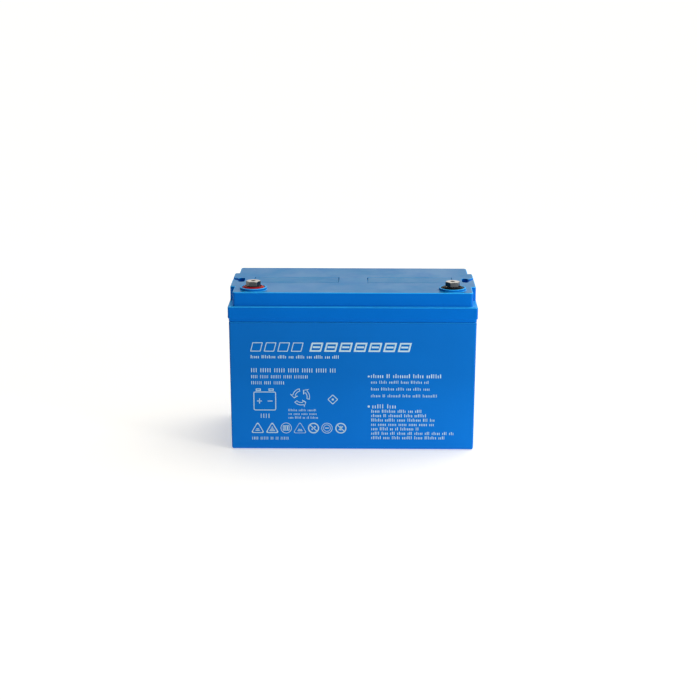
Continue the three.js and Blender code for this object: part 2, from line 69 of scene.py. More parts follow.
CASE = half_size("container")
TONGUE_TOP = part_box("container")[1][2]
LID = half_size("lid")
SEAM_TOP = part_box("lid")[0][2]
COLLAR_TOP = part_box("lid")[1][2]
LEDGE = MOUNTS["hold_down_ledge"]["pos_m"][2]
LID_TOP = MOUNTS["lid_top"]["pos_m"][2]

SEAM = 1.1 * MM
CASE_RIM = SEAM_TOP - SEAM
CASE_DRAFT = 1.5 * MM
CASE_CORNER = 3 * MM
BOTTOM_ROUND = 3.5 * MM
TONGUE_INSET = 2 * MM
CLEARANCE = 0.3 * MM
FLOOR = 4 * MM
OVERSHOOT = 1 * MM

CELLS = 6
CELL_WIDTH = 51 * MM
PARTITION = 2.2 * MM
CELL_PITCH = CELL_WIDTH + PARTITION
CELL_HALF_Y = 79.5 * MM

FLANGE_BOTTOM = 179.6 * MM
FLANGE_CORNER = 3 * MM
UPPER = (157.6 * MM, 82 * MM)
UPPER_CORNER = 4 * MM
PAD_INNER, PAD_OUTER = 140 * MM, 163.6 * MM
PAD_HALF_Y = 44 * MM
LID_ROOF = 209.5 * MM
HEADSPACE = (153.5 * MM, 77.5 * MM)

POCKET_INNER, POCKET_OUTER = 147 * MM, 155.5 * MM
POCKET_FRONT, POCKET_REAR = -14 * MM, 12 * MM
POCKET_FLOOR = 201 * MM
POCKET_WALL = 3 * MM
CHANNEL_FLOOR = 207 * MM
CHANNEL_START_Y = (-11 * MM, 5.2 * MM)
CHANNEL_EXIT_Y = (7.5 * MM, 17 * MM)

COVER = half_size("vent_cover_right")
COVER_X = middle("vent_cover_right").x
COVER_GAP = 0.9 * MM
RECESS_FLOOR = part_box("vent_cover_right")[0][2] - CLEARANCE
VALVES = [middle(f"valve_cap_{number}").x for number in range(1, CELLS + 1)]
WELL_RADIUS, WELL_WALL, WELL_FLOOR = 8.5 * MM, 2.5 * MM, 200.4 * MM
WELL_THICKNESS = 3 * MM
CHIMNEY_RADIUS, CHIMNEY_BORE, CHIMNEY_TOP = 4.6 * MM, 2.6 * MM, 208.2 * MM

POLARITIES = ("positive", "negative")
TERMINAL = {polarity: middle(f"seal_ring_{polarity}") for polarity in POLARITIES}
COLLAR_OUTER, COLLAR_INNER = 17.8 * MM, 15.4 * MM
TERMINAL_FLOOR = 205 * MM
TERMINAL_THICKNESS = 4 * MM
BOSS_WALL = 3.1 * MM
STEM_HOLE = 7.4 * MM
O_RING_SEAT = (10.5 * MM, 202.7 * MM)

EDGE_STEPS = 5
CORNER_STEPS = 8
ROUND_STEPS = 96
SMALL_ROUND_STEPS = 48

SMALL_ROUND = 0.3 * MM
PAD_CORNER = 3 * MM
WELD_DISTANCE = 0.0005 * MM
LEVEL_NORMAL = 0.99

HEAD_FLATS = 17 * MM
SHANK_RADIUS, THREAD_PITCH, THREAD_DEPTH = 5 * MM, 1.5 * MM, 0.8 * MM
DIMPLE_RADIUS, DIMPLE_DEPTH = 3.1 * MM, 1.6 * MM
WASHER_BORE = 5.4 * MM
SEAL_INNER, SEAL_CLIMB, SEAL_STEPS = 10.6 * MM, 1.8 * MM, 14

# ---------- mesh helpers


def quarter_turn(steps=EDGE_STEPS):
    return [step / steps * math.pi / 2 for step in range(steps + 1)]


# Each edge profile is a list of (z, how far the outline grows there), lowest first.


def rounded_top(z, radius):
    return [(z - radius * (1 - math.sin(a)), -radius * (1 - math.cos(a))) for a in quarter_turn()]


def rounded_bottom(z, radius):
    return [(z + radius * (1 - math.sin(a)), -radius * (1 - math.cos(a))) for a in reversed(quarter_turn())]


def filleted_foot(z, radius):
    return [(z + radius * (1 - math.cos(a)), radius * (1 - math.sin(a))) for a in quarter_turn()]


def cut_lip(z, radius):
    """The top of a cutter that leaves a rounded lip at z."""
    lip = [(z - radius + radius * math.sin(a), radius * (1 - math.cos(a))) for a in quarter_turn()]
    return lip + [(z + OVERSHOOT, radius)]


def mesh_object(name, vertices, faces):
    mesh = bpy.data.meshes.new(name)
    mesh.from_pydata([tuple(v) for v in vertices], [], faces)
    mesh.validate()
    piece = bpy.data.objects.new(name, mesh)
    bpy.context.scene.collection.objects.link(piece)
    return piece


def skin(name, rings):
    """A closed body through rings of points that all have the same count, lowest first."""
    count = len(rings[0])
    faces = [tuple(reversed(range(count)))]
    for level in range(len(rings) - 1):
        base = level * count
        for i in range(count):
            j = (i + 1) % count
            faces.append((base + i, base + j, base + count + j, base + count + i))
    top = (len(rings) - 1) * count
    faces.append(tuple(range(top, top + count)))
    return mesh_object(name, [point for ring in rings for point in ring], faces)


def rounded_outline(half_x, half_y, corner, steps=CORNER_STEPS):
    points = []
    for quarter, (sign_x, sign_y) in enumerate(((1, 1), (-1, 1), (-1, -1), (1, -1))):
        for step in range(steps + 1):
            angle = (quarter + step / steps) * math.pi / 2
            points.append((
                sign_x * (half_x - corner) + corner * math.cos(angle),
                sign_y * (half_y - corner) + corner * math.sin(angle),
            ))
    return points


def slab(name, half_x, half_y, corner, profile, centre=(0, 0), steps=CORNER_STEPS):
    """A rounded rectangle that follows a profile upwards."""
    rings = []
    for z, grow in profile:
        radius = max(corner + grow, 0.05 * MM)
        outline = rounded_outline(half_x + grow, half_y + grow, radius, steps)
        rings.append([(centre[0] + x, centre[1] + y, z) for x, y in outline])
    return skin(name, rings)


def turned(name, profile, centre=(0, 0), steps=ROUND_STEPS):
    """(radius, z) points turned about a vertical axis, from axis to axis or as a closed loop."""
    closed = profile[0] != profile[-1] and min(radius for radius, _ in profile) > 0
    vertices, rows = [], []
    for radius, z in profile:
        if radius == 0:
            rows.append([len(vertices)] * steps)
            vertices.append((centre[0], centre[1], z))
            continue
        rows.append([len(vertices) + i for i in range(steps)])
        for i in range(steps):
            angle = 2 * math.pi * i / steps
            x, y = radius * math.cos(angle), radius * math.sin(angle)
            vertices.append((centre[0] + x, centre[1] + y, z))
    faces = []
    last = len(rows) if closed else len(rows) - 1
    for level in range(last):
        low, high = rows[level], rows[(level + 1) % len(rows)]
        for i in range(steps):
            j = (i + 1) % steps
            face = [low[i], low[j], high[j], high[i]]
            face = [v for k, v in enumerate(face) if v != face[k - 1]]
            if len(face) > 2:
                faces.append(tuple(face))
    return mesh_object(name, vertices, faces)


def cylinder(name, radius, low, high, centre=(0, 0), steps=SMALL_ROUND_STEPS):
    return turned(name, [(0, low), (radius, low), (radius, high), (0, high)], centre, steps)


def box(name, low, high):
    corners = ((low[0], low[1]), (high[0], low[1]), (high[0], high[1]), (low[0], high[1]))
    return skin(name, [[(*corner, z) for corner in corners] for z in (low[2], high[2])])


def apply_modifiers(piece):
    graph = bpy.context.evaluated_depsgraph_get()
    finished = bpy.data.meshes.new_from_object(piece.evaluated_get(graph))
    old = piece.data
    piece.modifiers.clear()
    piece.data = finished
    bpy.data.meshes.remove(old)


def combine(piece, operation, *tools):
    """Joins or cuts solids with piece, and removes them."""
    for tool in tools:
        step = piece.modifiers.new("step", "BOOLEAN")
        step.operation = operation
        step.solver = "MANIFOLD"
        step.object = tool
        apply_modifiers(piece)
        bpy.data.objects.remove(tool)
    return piece


def join(piece, *tools):
    return combine(piece, "UNION", *tools)


def cut(piece, *tools):
    return combine(piece, "DIFFERENCE", *tools)


def merge(name, pieces):
    """One object that holds the separate bodies of several."""
    merged = bmesh.new()
    for piece in pieces:
        merged.from_mesh(piece.data)
        bpy.data.objects.remove(piece)
    mesh = bpy.data.meshes.new(name)
    merged.to_mesh(mesh)
    merged.free()
    whole = bpy.data.objects.new(name, mesh)
    bpy.context.scene.collection.objects.link(whole)
    return whole


def finish_surface(piece, sharp_angle=35):
    """Welds stray doubles, smooths round stretches and keeps true edges crisp."""
    tidy = bmesh.new()
    tidy.from_mesh(piece.data)
    bmesh.ops.remove_doubles(tidy, verts=tidy.verts, dist=WELD_DISTANCE)
    bmesh.ops.dissolve_degenerate(tidy, dist=WELD_DISTANCE, edges=tidy.edges)
    bmesh.ops.recalc_face_normals(tidy, faces=tidy.faces)
    tidy.to_mesh(piece.data)
    tidy.free()
    for polygon in piece.data.polygons:
        polygon.use_smooth = True
    piece.data.set_sharp_from_angle(angle=math.radians(sharp_angle))
    weighted = piece.modifiers.new("even_shading", "WEIGHTED_NORMAL")
    weighted.keep_sharp = True
    weighted.weight = 100


def place(piece, name, body, slot, material, *nodes):
    """Names a finished piece, gives it its material, and ties it to the frame."""
    piece.name = name
    piece.data.name = name
    piece.data.materials.clear()
    piece.data.materials.append(material)
    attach(piece, body)
    if nodes:
        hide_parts(*nodes)
    return piece


# ---------- materials


class Nodes:
    """Short ways to add nodes to a tree and link them."""

    def __init__(self, tree):
        self.tree = tree

    def node(self, kind, **settings):
        node = self.tree.nodes.new(kind)
        for key, value in settings.items():
            setattr(node, key, value)
        return node

    def link(self, source, target):
        self.tree.links.new(source, target)

    def split(self, vector):
        parts = self.node("ShaderNodeSeparateXYZ")
        self.link(vector, parts.inputs["Vector"])
        return parts.outputs

    def remap(self, value, low, high, to_low=0.0, to_high=1.0, interpolation="LINEAR"):
        remap = self.node("ShaderNodeMapRange", interpolation_type=interpolation)
        self.link(value, remap.inputs["Value"])
        for key, number in (("From Min", low), ("From Max", high), ("To Min", to_low), ("To Max", to_high)):
            remap.inputs[key].default_value = number
        return remap.outputs["Result"]

    def math(self, operation, a, b):
        node = self.node("ShaderNodeMath", operation=operation)
        for socket, value in zip(node.inputs, (a, b)):
            if isinstance(value, (int, float)):
                socket.default_value = value
            else:
                self.link(value, socket)
        return node.outputs["Value"]


class Surface(Nodes):
    """A new material with its Principled shader."""

    def __init__(self, name, colour, roughness, **inputs):
        self.material = bpy.data.materials.new(name)
        self.material.use_nodes = True
        super().__init__(self.material.node_tree)
        self.shader = self.tree.nodes["Principled BSDF"]
        self.shader.inputs["Base Color"].default_value = (*colour, 1)
        self.shader.inputs["Roughness"].default_value = roughness
        for key, value in inputs.items():
            self.shader.inputs[key.replace("_", " ")].default_value = value
        self.place = self.tree.nodes.new("ShaderNodeTexCoord").outputs["Object"]

    def stretched(self, scale):
        mapping = self.node("ShaderNodeMapping")
        mapping.inputs["Scale"].default_value = scale
        self.link(self.place, mapping.inputs["Vector"])
        return mapping.outputs["Vector"]

    def noise(self, scale, detail=3, roughness=0.5, stretch=None):
        noise = self.node("ShaderNodeTexNoise")
        noise.inputs["Scale"].default_value = scale
        noise.inputs["Detail"].default_value = detail
        noise.inputs["Roughness"].default_value = roughness
        self.link(self.stretched(stretch) if stretch else self.place, noise.inputs["Vector"])
        return noise.outputs["Fac"]

    def cells(self, scale, feature="F1"):
        cells = self.node("ShaderNodeTexVoronoi", feature=feature)
        cells.inputs["Scale"].default_value = scale
        self.link(self.place, cells.inputs["Vector"])
        return cells.outputs["Distance"]

    def mix(self, factor, colour_a, colour_b):
        mix = self.node("ShaderNodeMix", data_type="RGBA")
        self.link(factor, mix.inputs["Factor"])
        for socket, colour in ((mix.inputs[6], colour_a), (mix.inputs[7], colour_b)):
            if isinstance(colour, tuple):
                socket.default_value = (*colour, 1)
            else:
                self.link(colour, socket)
        return mix.outputs[2]

    def upward(self):
        """How far the surface faces up: 1 on a level top, 0 on a wall."""
        return self.split(self.node("ShaderNodeNewGeometry").outputs["Normal"])["Z"]

    def colour(self, source):
        self.link(source, self.shader.inputs["Base Color"])

    def roughness(self, source):
        self.link(source, self.shader.inputs["Roughness"])

    def bump(self, *layers):
        """Each layer is (height, distance in metres)."""
        normal = None
        for height, distance in layers:
            bump = self.node("ShaderNodeBump")
            bump.inputs["Distance"].default_value = distance
            self.link(height, bump.inputs["Height"])
            if normal:
                self.link(normal, bump.inputs["Normal"])
            normal = bump.outputs["Normal"]
        self.link(normal, self.shader.inputs["Normal"])


# Pale cyan for settled dust together with a painted reflection haze on level tops.
DUST_AND_HAZE_CYAN = (0.03, 0.52, 0.62)
# Lighter blue painted on rounded edges and upward faces as a highlight from overhead light.
PAINTED_HIGHLIGHT_BLUE = (0.03, 0.48, 1.0)
SCUFF_BLUE = (0.25, 0.42, 0.72)
WORN_INK_BLUE = (0.18, 0.33, 0.62)


def tinted(colour, factor):
    return tuple(min(1.0, channel * factor) for channel in colour)


def moulded_plastic(name, colour, roughness, shine=0.14, dust_and_haze=False, side=None, fade=0):
    """Satin ABS: spark texture, slow colour drift, smudges, hairline scuffs, and a painted highlight of
    lighter blue on rounded edges and upward faces.

    With the dust-and-haze flag it gets settled dust mixed with a painted pale reflection haze instead of the
    painted highlight; the side colour is painted shade on its walls; and below the fade height it is painted
    lighter towards the floor as floor-bounce light.
    """
    surface = Surface(name, colour, roughness, IOR=1.36, Specular_IOR_Level=shine)
    surface.shader.inputs["Specular Tint"].default_value = (*tinted(colour, 1.3), 1)
    drift = surface.remap(surface.noise(9, 2), 0.3, 0.7)
    base = surface.mix(drift, tinted(colour, 0.95), tinted(colour, 1.05))
    speck = surface.remap(surface.noise(900, 1), 0.35, 0.65, 0, 0.25)
    base = surface.mix(speck, base, tinted(colour, 0.88))
    scuffs = surface.noise(60, 2, 0.6, stretch=(1.2, 1.2, 26))
    scuff_mask = surface.remap(scuffs, 0.70, 0.76)
    patches = surface.remap(surface.noise(14, 3, 0.6), 0.55, 0.7)
    scuff_mask = surface.math("MULTIPLY", scuff_mask, patches)
    base = surface.mix(surface.math("MULTIPLY", scuff_mask, 0.2), base, SCUFF_BLUE)
    # Painted floor-bounce light: below the fade height the colour grows lighter towards the floor.
    if fade:
        painted_floor_bounce = surface.remap(surface.split(surface.place)["Z"], 0, fade, 0.6, 0)
        base = surface.mix(painted_floor_bounce, base, tinted(colour, 1.45))
    if dust_and_haze:
        # Settled dust and painted reflection haze: the surface is mixed towards a paler cyan.
        dust_and_haze_mix = surface.remap(surface.noise(40, 4, 0.65), 0.25, 0.75, 0.18, 0.28)
        base = surface.mix(dust_and_haze_mix, base, DUST_AND_HAZE_CYAN)
    else:
        # Painted highlight: rounded edges and upward faces are mixed towards a lighter blue, as if lit from
        # above.
        painted_highlight_mask = surface.remap(surface.upward(), 0.12, 0.4, 0, 0.85)
        base = surface.mix(painted_highlight_mask, base, PAINTED_HIGHLIGHT_BLUE)
    # Painted shade: walls are given the darker side colour.
    if side:
        base = surface.mix(surface.remap(surface.upward(), 0.1, 0.4), side, base)
    surface.colour(base)
    smudge = surface.remap(surface.noise(22, 4, 0.62), 0.35, 0.7, roughness - 0.05, roughness + 0.09)
    surface.roughness(surface.math("ADD", smudge, surface.math("MULTIPLY", scuff_mask, 0.15)))
    texture = surface.cells(1500, "SMOOTH_F1")
    waviness = surface.noise(30, 1)
    surface.bump((waviness, 0.06 * MM), (texture, 0.012 * MM))
    return surface.material


def sealing_resin(name, colour):
    """Cast epoxy: glossy, slightly rippled, with faint dust specks."""
    surface = Surface(name, colour, 0.2, IOR=1.09)
    surface.shader.inputs["Coat Weight"].default_value = 0.04
    surface.shader.inputs["Coat Roughness"].default_value = 0.1
    drift = surface.remap(surface.noise(160, 2), 0.3, 0.7)
    base = surface.mix(drift, tinted(colour, 0.8), tinted(colour, 1.15))
    surface.colour(base)
    surface.roughness(surface.remap(surface.noise(420, 3), 0.3, 0.75, 0.12, 0.3))
    surface.bump((surface.noise(260, 2), 0.12 * MM), (surface.noise(2400, 1), 0.01 * MM))
    return surface.material


def moulded_rubber(name, colour):
    surface = Surface(name, colour, 0.7, IOR=1.5)
    bloom = surface.remap(surface.noise(340, 4, 0.6), 0.4, 0.72)
    surface.colour(surface.mix(bloom, colour, tinted(colour, 2.2)))
    surface.roughness(surface.remap(surface.noise(500, 2), 0.3, 0.7, 0.6, 0.82))
    surface.bump((surface.noise(3000, 2), 0.02 * MM))
    return surface.material


def plated_steel(name, colour, side, roughness=0.2):
    """Zinc plate with dulled patches and tarnish, painted bright where it faces up as a reflection and
    painted dark on its sides as shade.
    """
    surface = Surface(name, colour, roughness, Metallic=1.0)
    patches = surface.remap(surface.noise(210, 3, 0.6), 0.35, 0.7)
    base = surface.mix(patches, tinted(colour, 0.86), tinted(colour, 1.08))
    tarnish = surface.remap(surface.noise(95, 4, 0.7), 0.56, 0.75, 0, 0.35)
    base = surface.mix(tarnish, base, tinted(colour, 0.66))
    # Painted reflection and shade: faces turned up take the bright colour, walls the dark side colour.
    wear_and_painted_top_light = surface.remap(surface.upward(), 0.8, 0.97)
    surface.colour(surface.mix(wear_and_painted_top_light, side, base))
    polish = surface.noise(620, 3, 0.6)
    surface.roughness(surface.remap(polish, 0.3, 0.75, roughness - 0.04, roughness + 0.10))
    marks = surface.noise(900, 2, 0.5, stretch=(1, 1, 7))
    surface.bump((marks, 0.012 * MM), (surface.noise(5200, 1), 0.004 * MM))
    return surface.material


def cast_lead(name, colour):
    surface = Surface(name, colour, 0.55, Metallic=0.85)
    bloom = surface.remap(surface.noise(120, 5, 0.65), 0.35, 0.7)
    surface.colour(surface.mix(bloom, tinted(colour, 0.7), tinted(colour, 1.35)))
    surface.roughness(surface.remap(surface.noise(300, 3), 0.3, 0.7, 0.45, 0.7))
    surface.bump((surface.noise(700, 4), 0.05 * MM))
    return surface.material


def pasted_plate(name, colour, metallic):
    """Active paste pressed into a grid, whose bars show through as a faint lattice."""
    surface = Surface(name, colour, 0.8, Metallic=metallic)
    grit = surface.remap(surface.noise(900, 5, 0.7), 0.3, 0.7)
    base = surface.mix(grit, tinted(colour, 0.7), tinted(colour, 1.3))
    lattice = surface.node("ShaderNodeTexBrick", offset=0.0)
    lattice.inputs["Scale"].default_value = 90
    lattice.inputs["Mortar Size"].default_value = 0.03
    turn = surface.node("ShaderNodeMapping")
    turn.inputs["Rotation"].default_value = (0, math.pi / 2, 0)
    surface.link(surface.place, turn.inputs["Vector"])
    surface.link(turn.outputs["Vector"], lattice.inputs["Vector"])
    bars = lattice.outputs["Fac"]
    surface.colour(surface.mix(surface.math("MULTIPLY", bars, 0.35), base, tinted(colour, 1.8)))
    surface.roughness(surface.remap(grit, 0, 1, 0.7, 0.92))
    surface.bump((surface.noise(1800, 4), 0.05 * MM), (bars, 0.08 * MM))
    return surface.material


def glass_mat(name, colour):
    """Microfibre mat: matted short fibres crossing two ways."""
    surface = Surface(name, colour, 0.95)
    along = surface.noise(500, 4, 0.7, stretch=(1, 6, 1))
    across = surface.noise(500, 4, 0.7, stretch=(1, 1, 6))
    fibres = surface.math("MULTIPLY", along, across)
    surface.colour(surface.mix(surface.remap(fibres, 0.1, 0.4), tinted(colour, 0.88), colour))
    surface.roughness(surface.remap(fibres, 0.1, 0.4, 0.98, 0.88))
    surface.shader.inputs["Sheen Weight"].default_value = 0.3
    surface.bump((fibres, 0.12 * MM))
    return surface.material


def screen_ink(name, colour):
    """Screen-printed ink: thin, satin, with a slight mesh pattern and worn specks."""
    surface = Surface(name, colour, 0.42, IOR=1.5)
    wear_and_painted_top_light = surface.remap(surface.noise(700, 4, 0.65), 0.62, 0.74, 0, 0.3)
    surface.colour(surface.mix(wear_and_painted_top_light, colour, WORN_INK_BLUE))
    surface.roughness(surface.remap(surface.noise(400, 2), 0.3, 0.7, 0.36, 0.5))
    surface.bump((surface.cells(3200), 0.006 * MM))
    return surface.material


# The case is painted lighter towards the floor as floor-bounce light.
CASE_BLUE = moulded_plastic("case_blue_abs", (0.0045, 0.136, 0.495), 0.42, fade=0.6 * CASE_RIM)
LID_BLUE = moulded_plastic("lid_blue_abs", (0.002, 0.132, 0.53), 0.38)
# The lid's level tops and the covers carry settled dust mixed with a painted pale reflection haze.
LID_TOP_BLUE = moulded_plastic("lid_top_blue_abs", (0.002, 0.134, 0.53), 0.38, shine=0.5, dust_and_haze=True)
# Dark blue painted on the covers' walls as the shade in the gap round them.
COVER_SIDE_SHADE = (0.0005, 0.020, 0.09)
COVER_BLUE = moulded_plastic("cover_blue_abs", (0.002, 0.136, 0.505), 0.42, 0.5, True, COVER_SIDE_SHADE)
SEAL = {
    "positive": sealing_resin("red_resin", (0.36, 0.003, 0.008)),
    "negative": sealing_resin("black_resin", (0.0018, 0.0018, 0.002)),
}
RUBBER = moulded_rubber("black_rubber", (0.012, 0.012, 0.013))
# Bright where it faces up and dark on its walls, both painted as reflection and shade.
STEEL = plated_steel("zinc_plated_steel", (0.66, 0.62, 0.58), (0.060, 0.066, 0.072))
# Dark steel painted into the bolt-head dimples as shade.
DIMPLE_SHADE_STEEL = plated_steel("recess_steel", (0.075, 0.055, 0.045), (0.05, 0.045, 0.04), 0.5)
TINNED = plated_steel("tinned_copper", (0.60, 0.58, 0.52), (0.30, 0.29, 0.26), 0.32)
LEAD = cast_lead("cast_lead", (0.17, 0.18, 0.20))
POSITIVE_PASTE = pasted_plate("lead_dioxide_paste", (0.06, 0.028, 0.018), 0.0)
NEGATIVE_PASTE = pasted_plate("sponge_lead_paste", (0.20, 0.21, 0.23), 0.5)
MAT = glass_mat("glass_microfibre", (0.80, 0.79, 0.75))
INK = screen_ink("pale_ink", (0.42, 0.60, 0.68))

# ---------- container


def cell_centre(cell):
    return (cell - (CELLS + 1) / 2) * CELL_PITCH


def make_container():
    draft = [(z, grow - CASE_DRAFT) for z, grow in rounded_bottom(0, BOTTOM_ROUND)]
    shell = slab("shell", CASE.x, CASE.y, CASE_CORNER, draft + rounded_top(CASE_RIM, SMALL_ROUND))
    tongue_profile = [(CASE_RIM - OVERSHOOT, 0)] + rounded_top(TONGUE_TOP, SMALL_ROUND)
    half_x, half_y = CASE.x - TONGUE_INSET, CASE.y - TONGUE_INSET
    join(shell, slab("tongue", half_x, half_y, CASE_CORNER, tongue_profile))
    for cell in range(1, CELLS + 1):
        profile = rounded_bottom(FLOOR, 1.5 * MM) + cut_lip(TONGUE_TOP, SMALL_ROUND)
        centre = (cell_centre(cell), 0)
        cut(shell, slab("cell", CELL_WIDTH / 2, CELL_HALF_Y, 2 * MM, profile, centre, 4))
    for cell in range(1, CELLS):
        weld = middle(f"cell_weld_{cell}_{cell + 1}")
        radius = half_size(f"cell_weld_{cell}_{cell + 1}").z + CLEARANCE
        cut(shell, crosswise_rod("weld_hole", radius, PARTITION / 2 + OVERSHOOT, weld))
    finish_surface(shell)
    place(shell, "container_shell", "case", "case_blue", CASE_BLUE, "container")


def crosswise_rod(name, radius, half_length, centre):
    rod = cylinder(name, radius, -half_length, half_length)
    rod.data.transform(Matrix.Translation(centre) @ Matrix.Rotation(math.pi / 2, 4, "Y"))
    return rod


# ---------- lid


def lid_outside():
    skirt = rounded_bottom(SEAM_TOP, SMALL_ROUND) + [(FLANGE_BOTTOM + OVERSHOOT, 0)]
    outside = slab("lid", CASE.x, CASE.y, CASE_CORNER, skirt)
    flange = rounded_bottom(FLANGE_BOTTOM, 0.5 * MM) + rounded_top(LEDGE, 0.8 * MM)
    join(outside, slab("flange", LID.x, LID.y, FLANGE_CORNER, flange))
    join(outside, slab("block", *UPPER, UPPER_CORNER, raised_profile(0.7 * MM)))
    for sign in (-1, 1):
        centre = (sign * (PAD_INNER + PAD_OUTER) / 2, 0)
        pad_half_x = (PAD_OUTER - PAD_INNER) / 2
        join(outside, slab("pad", pad_half_x, PAD_HALF_Y, PAD_CORNER, raised_profile(SMALL_ROUND), centre))
    return outside


def raised_profile(foot):
    """From the ledge, with a fillet there, up to the rounded edge of the lid's top."""
    return [(LEDGE - OVERSHOOT, foot)] + filleted_foot(LEDGE, foot) + rounded_top(LID_TOP, 1.2 * MM)


def hollow_out(lid):
    """Opens the space over each cell and the groove for the container's rim."""
    inset = TONGUE_INSET - CLEARANCE
    socket = [(SEAM_TOP - OVERSHOOT, 0), (TONGUE_TOP + CLEARANCE, 0)]
    cut(lid, slab("socket", CASE.x - inset, CASE.y - inset, CASE_CORNER, socket))
    for cell in range(1, CELLS + 1):
        low = max(cell_centre(cell) - CELL_WIDTH / 2, -HEADSPACE[0])
        high = min(cell_centre(cell) + CELL_WIDTH / 2, HEADSPACE[0])
        profile = [(TONGUE_TOP - OVERSHOOT, 0)] + rounded_top(LID_ROOF, 1 * MM)
        centre = ((low + high) / 2, 0)
        cut(lid, slab("space", (high - low) / 2, HEADSPACE[1], 1.5 * MM, profile, centre, 3))


def boss(radius, bottom, centre, steps=ROUND_STEPS):
    """A post that hangs from the lid's roof, with its lower edge taken off."""
    top, edge = LID_ROOF + OVERSHOOT, 0.5 * MM
    profile = [(0, bottom), (radius - edge, bottom), (radius, bottom + edge), (radius, top), (0, top)]
    return turned("boss", profile, centre, steps)


def add_bosses(lid):
    """Puts back the material round the valve wells, terminals and pockets."""
    for x in VALVES:
        join(lid, boss(WELL_RADIUS + WELL_WALL, WELL_FLOOR - WELL_THICKNESS, (x, 0), SMALL_ROUND_STEPS))
    for spot in TERMINAL.values():
        post = boss(COLLAR_INNER + BOSS_WALL, TERMINAL_FLOOR - TERMINAL_THICKNESS, spot[:2])
        outer = slab("trim", *UPPER, UPPER_CORNER, [(0, 0), (LID_TOP, 0)])
        join(lid, combine(post, "INTERSECT", outer))
    for sign in (-1, 1):
        ends = sorted((sign * (POCKET_INNER - POCKET_WALL), sign * (HEADSPACE[0] + OVERSHOOT)))
        low = (ends[0], POCKET_FRONT - POCKET_WALL, POCKET_FLOOR - POCKET_WALL)
        high = (ends[1], POCKET_REAR + POCKET_WALL, LID_ROOF + OVERSHOOT)
        join(lid, box("boss", low, high))


def add_collars(lid):
    """The raised ring round each terminal, with a small fillet at its foot."""
    foot = [(COLLAR_OUTER + grow, z) for z, grow in filleted_foot(LID_TOP, 0.8 * MM)]
    top = [(COLLAR_OUTER + grow, z) for z, grow in rounded_top(COLLAR_TOP, 0.7 * MM)]
    for spot in TERMINAL.values():
        start = [(0, LID_ROOF), (COLLAR_OUTER, LID_ROOF), (COLLAR_OUTER, LID_TOP - OVERSHOOT)]
        profile = start + [(COLLAR_OUTER + 0.8 * MM, LID_TOP - 0.4 * MM)] + foot + top + [(0, COLLAR_TOP)]
        join(lid, turned("collar", profile, spot[:2]))


def cut_terminal_holes(lid):
    bore = [(COLLAR_INNER + grow, z) for z, grow in cut_lip(COLLAR_TOP, 0.5 * MM)]
    seat_radius, seat_z = O_RING_SEAT
    under = TERMINAL_FLOOR - TERMINAL_THICKNESS - OVERSHOOT
    for spot in TERMINAL.values():
        profile = [
            (0, under), (STEM_HOLE, under), (STEM_HOLE, seat_z), (seat_radius, seat_z),
            (seat_radius, TERMINAL_FLOOR), (COLLAR_INNER, TERMINAL_FLOOR),
        ]
        cut(lid, turned("hole", profile + bore + [(0, bore[-1][1])], spot[:2]))


def grown(points, distance):
    """A convex anticlockwise outline moved outwards by a distance."""
    lines = []
    for a, b in zip(points, points[1:] + points[:1]):
        along = (Vector(b) - Vector(a)).normalized()
        lines.append((Vector(a) + Vector((along.y, -along.x)) * distance, along))
    result = []
    for (p, d), (q, e) in zip(lines[-1:] + lines[:-1], lines):
        reach = (q - p).cross(e) / d.cross(e)
        result.append(tuple(p + d * reach))
    return result


def cut_handle_pockets(lid):
    """Oval pockets for a carrying strap, each with a slanted channel out to the end of the lid."""
    lip = cut_lip(LID_TOP, 0.5 * MM)
    half_x = (POCKET_OUTER - POCKET_INNER) / 2
    half_y = (POCKET_REAR - POCKET_FRONT) / 2
    for sign in (-1, 1):
        centre = (sign * (POCKET_INNER + POCKET_OUTER) / 2, (POCKET_FRONT + POCKET_REAR) / 2)
        profile = rounded_bottom(POCKET_FLOOR, 1 * MM) + lip
        pocket = slab("pocket", half_x, half_y, half_x - 0.01 * MM, profile, centre)
        start, end = sign * (POCKET_OUTER - half_x / 2), sign * (PAD_OUTER + OVERSHOOT)
        outline = [
            (start, CHANNEL_START_Y[0]), (end, CHANNEL_EXIT_Y[0]), (end, CHANNEL_EXIT_Y[1]),
            (start, CHANNEL_START_Y[1]),
        ]
        if sign < 0:
            outline.reverse()
        rings = [[(x, y, z) for x, y in grown(outline, grow)] for z, grow in [(CHANNEL_FLOOR, 0)] + lip]
        cut(lid, join(pocket, skin("channel", rings)))


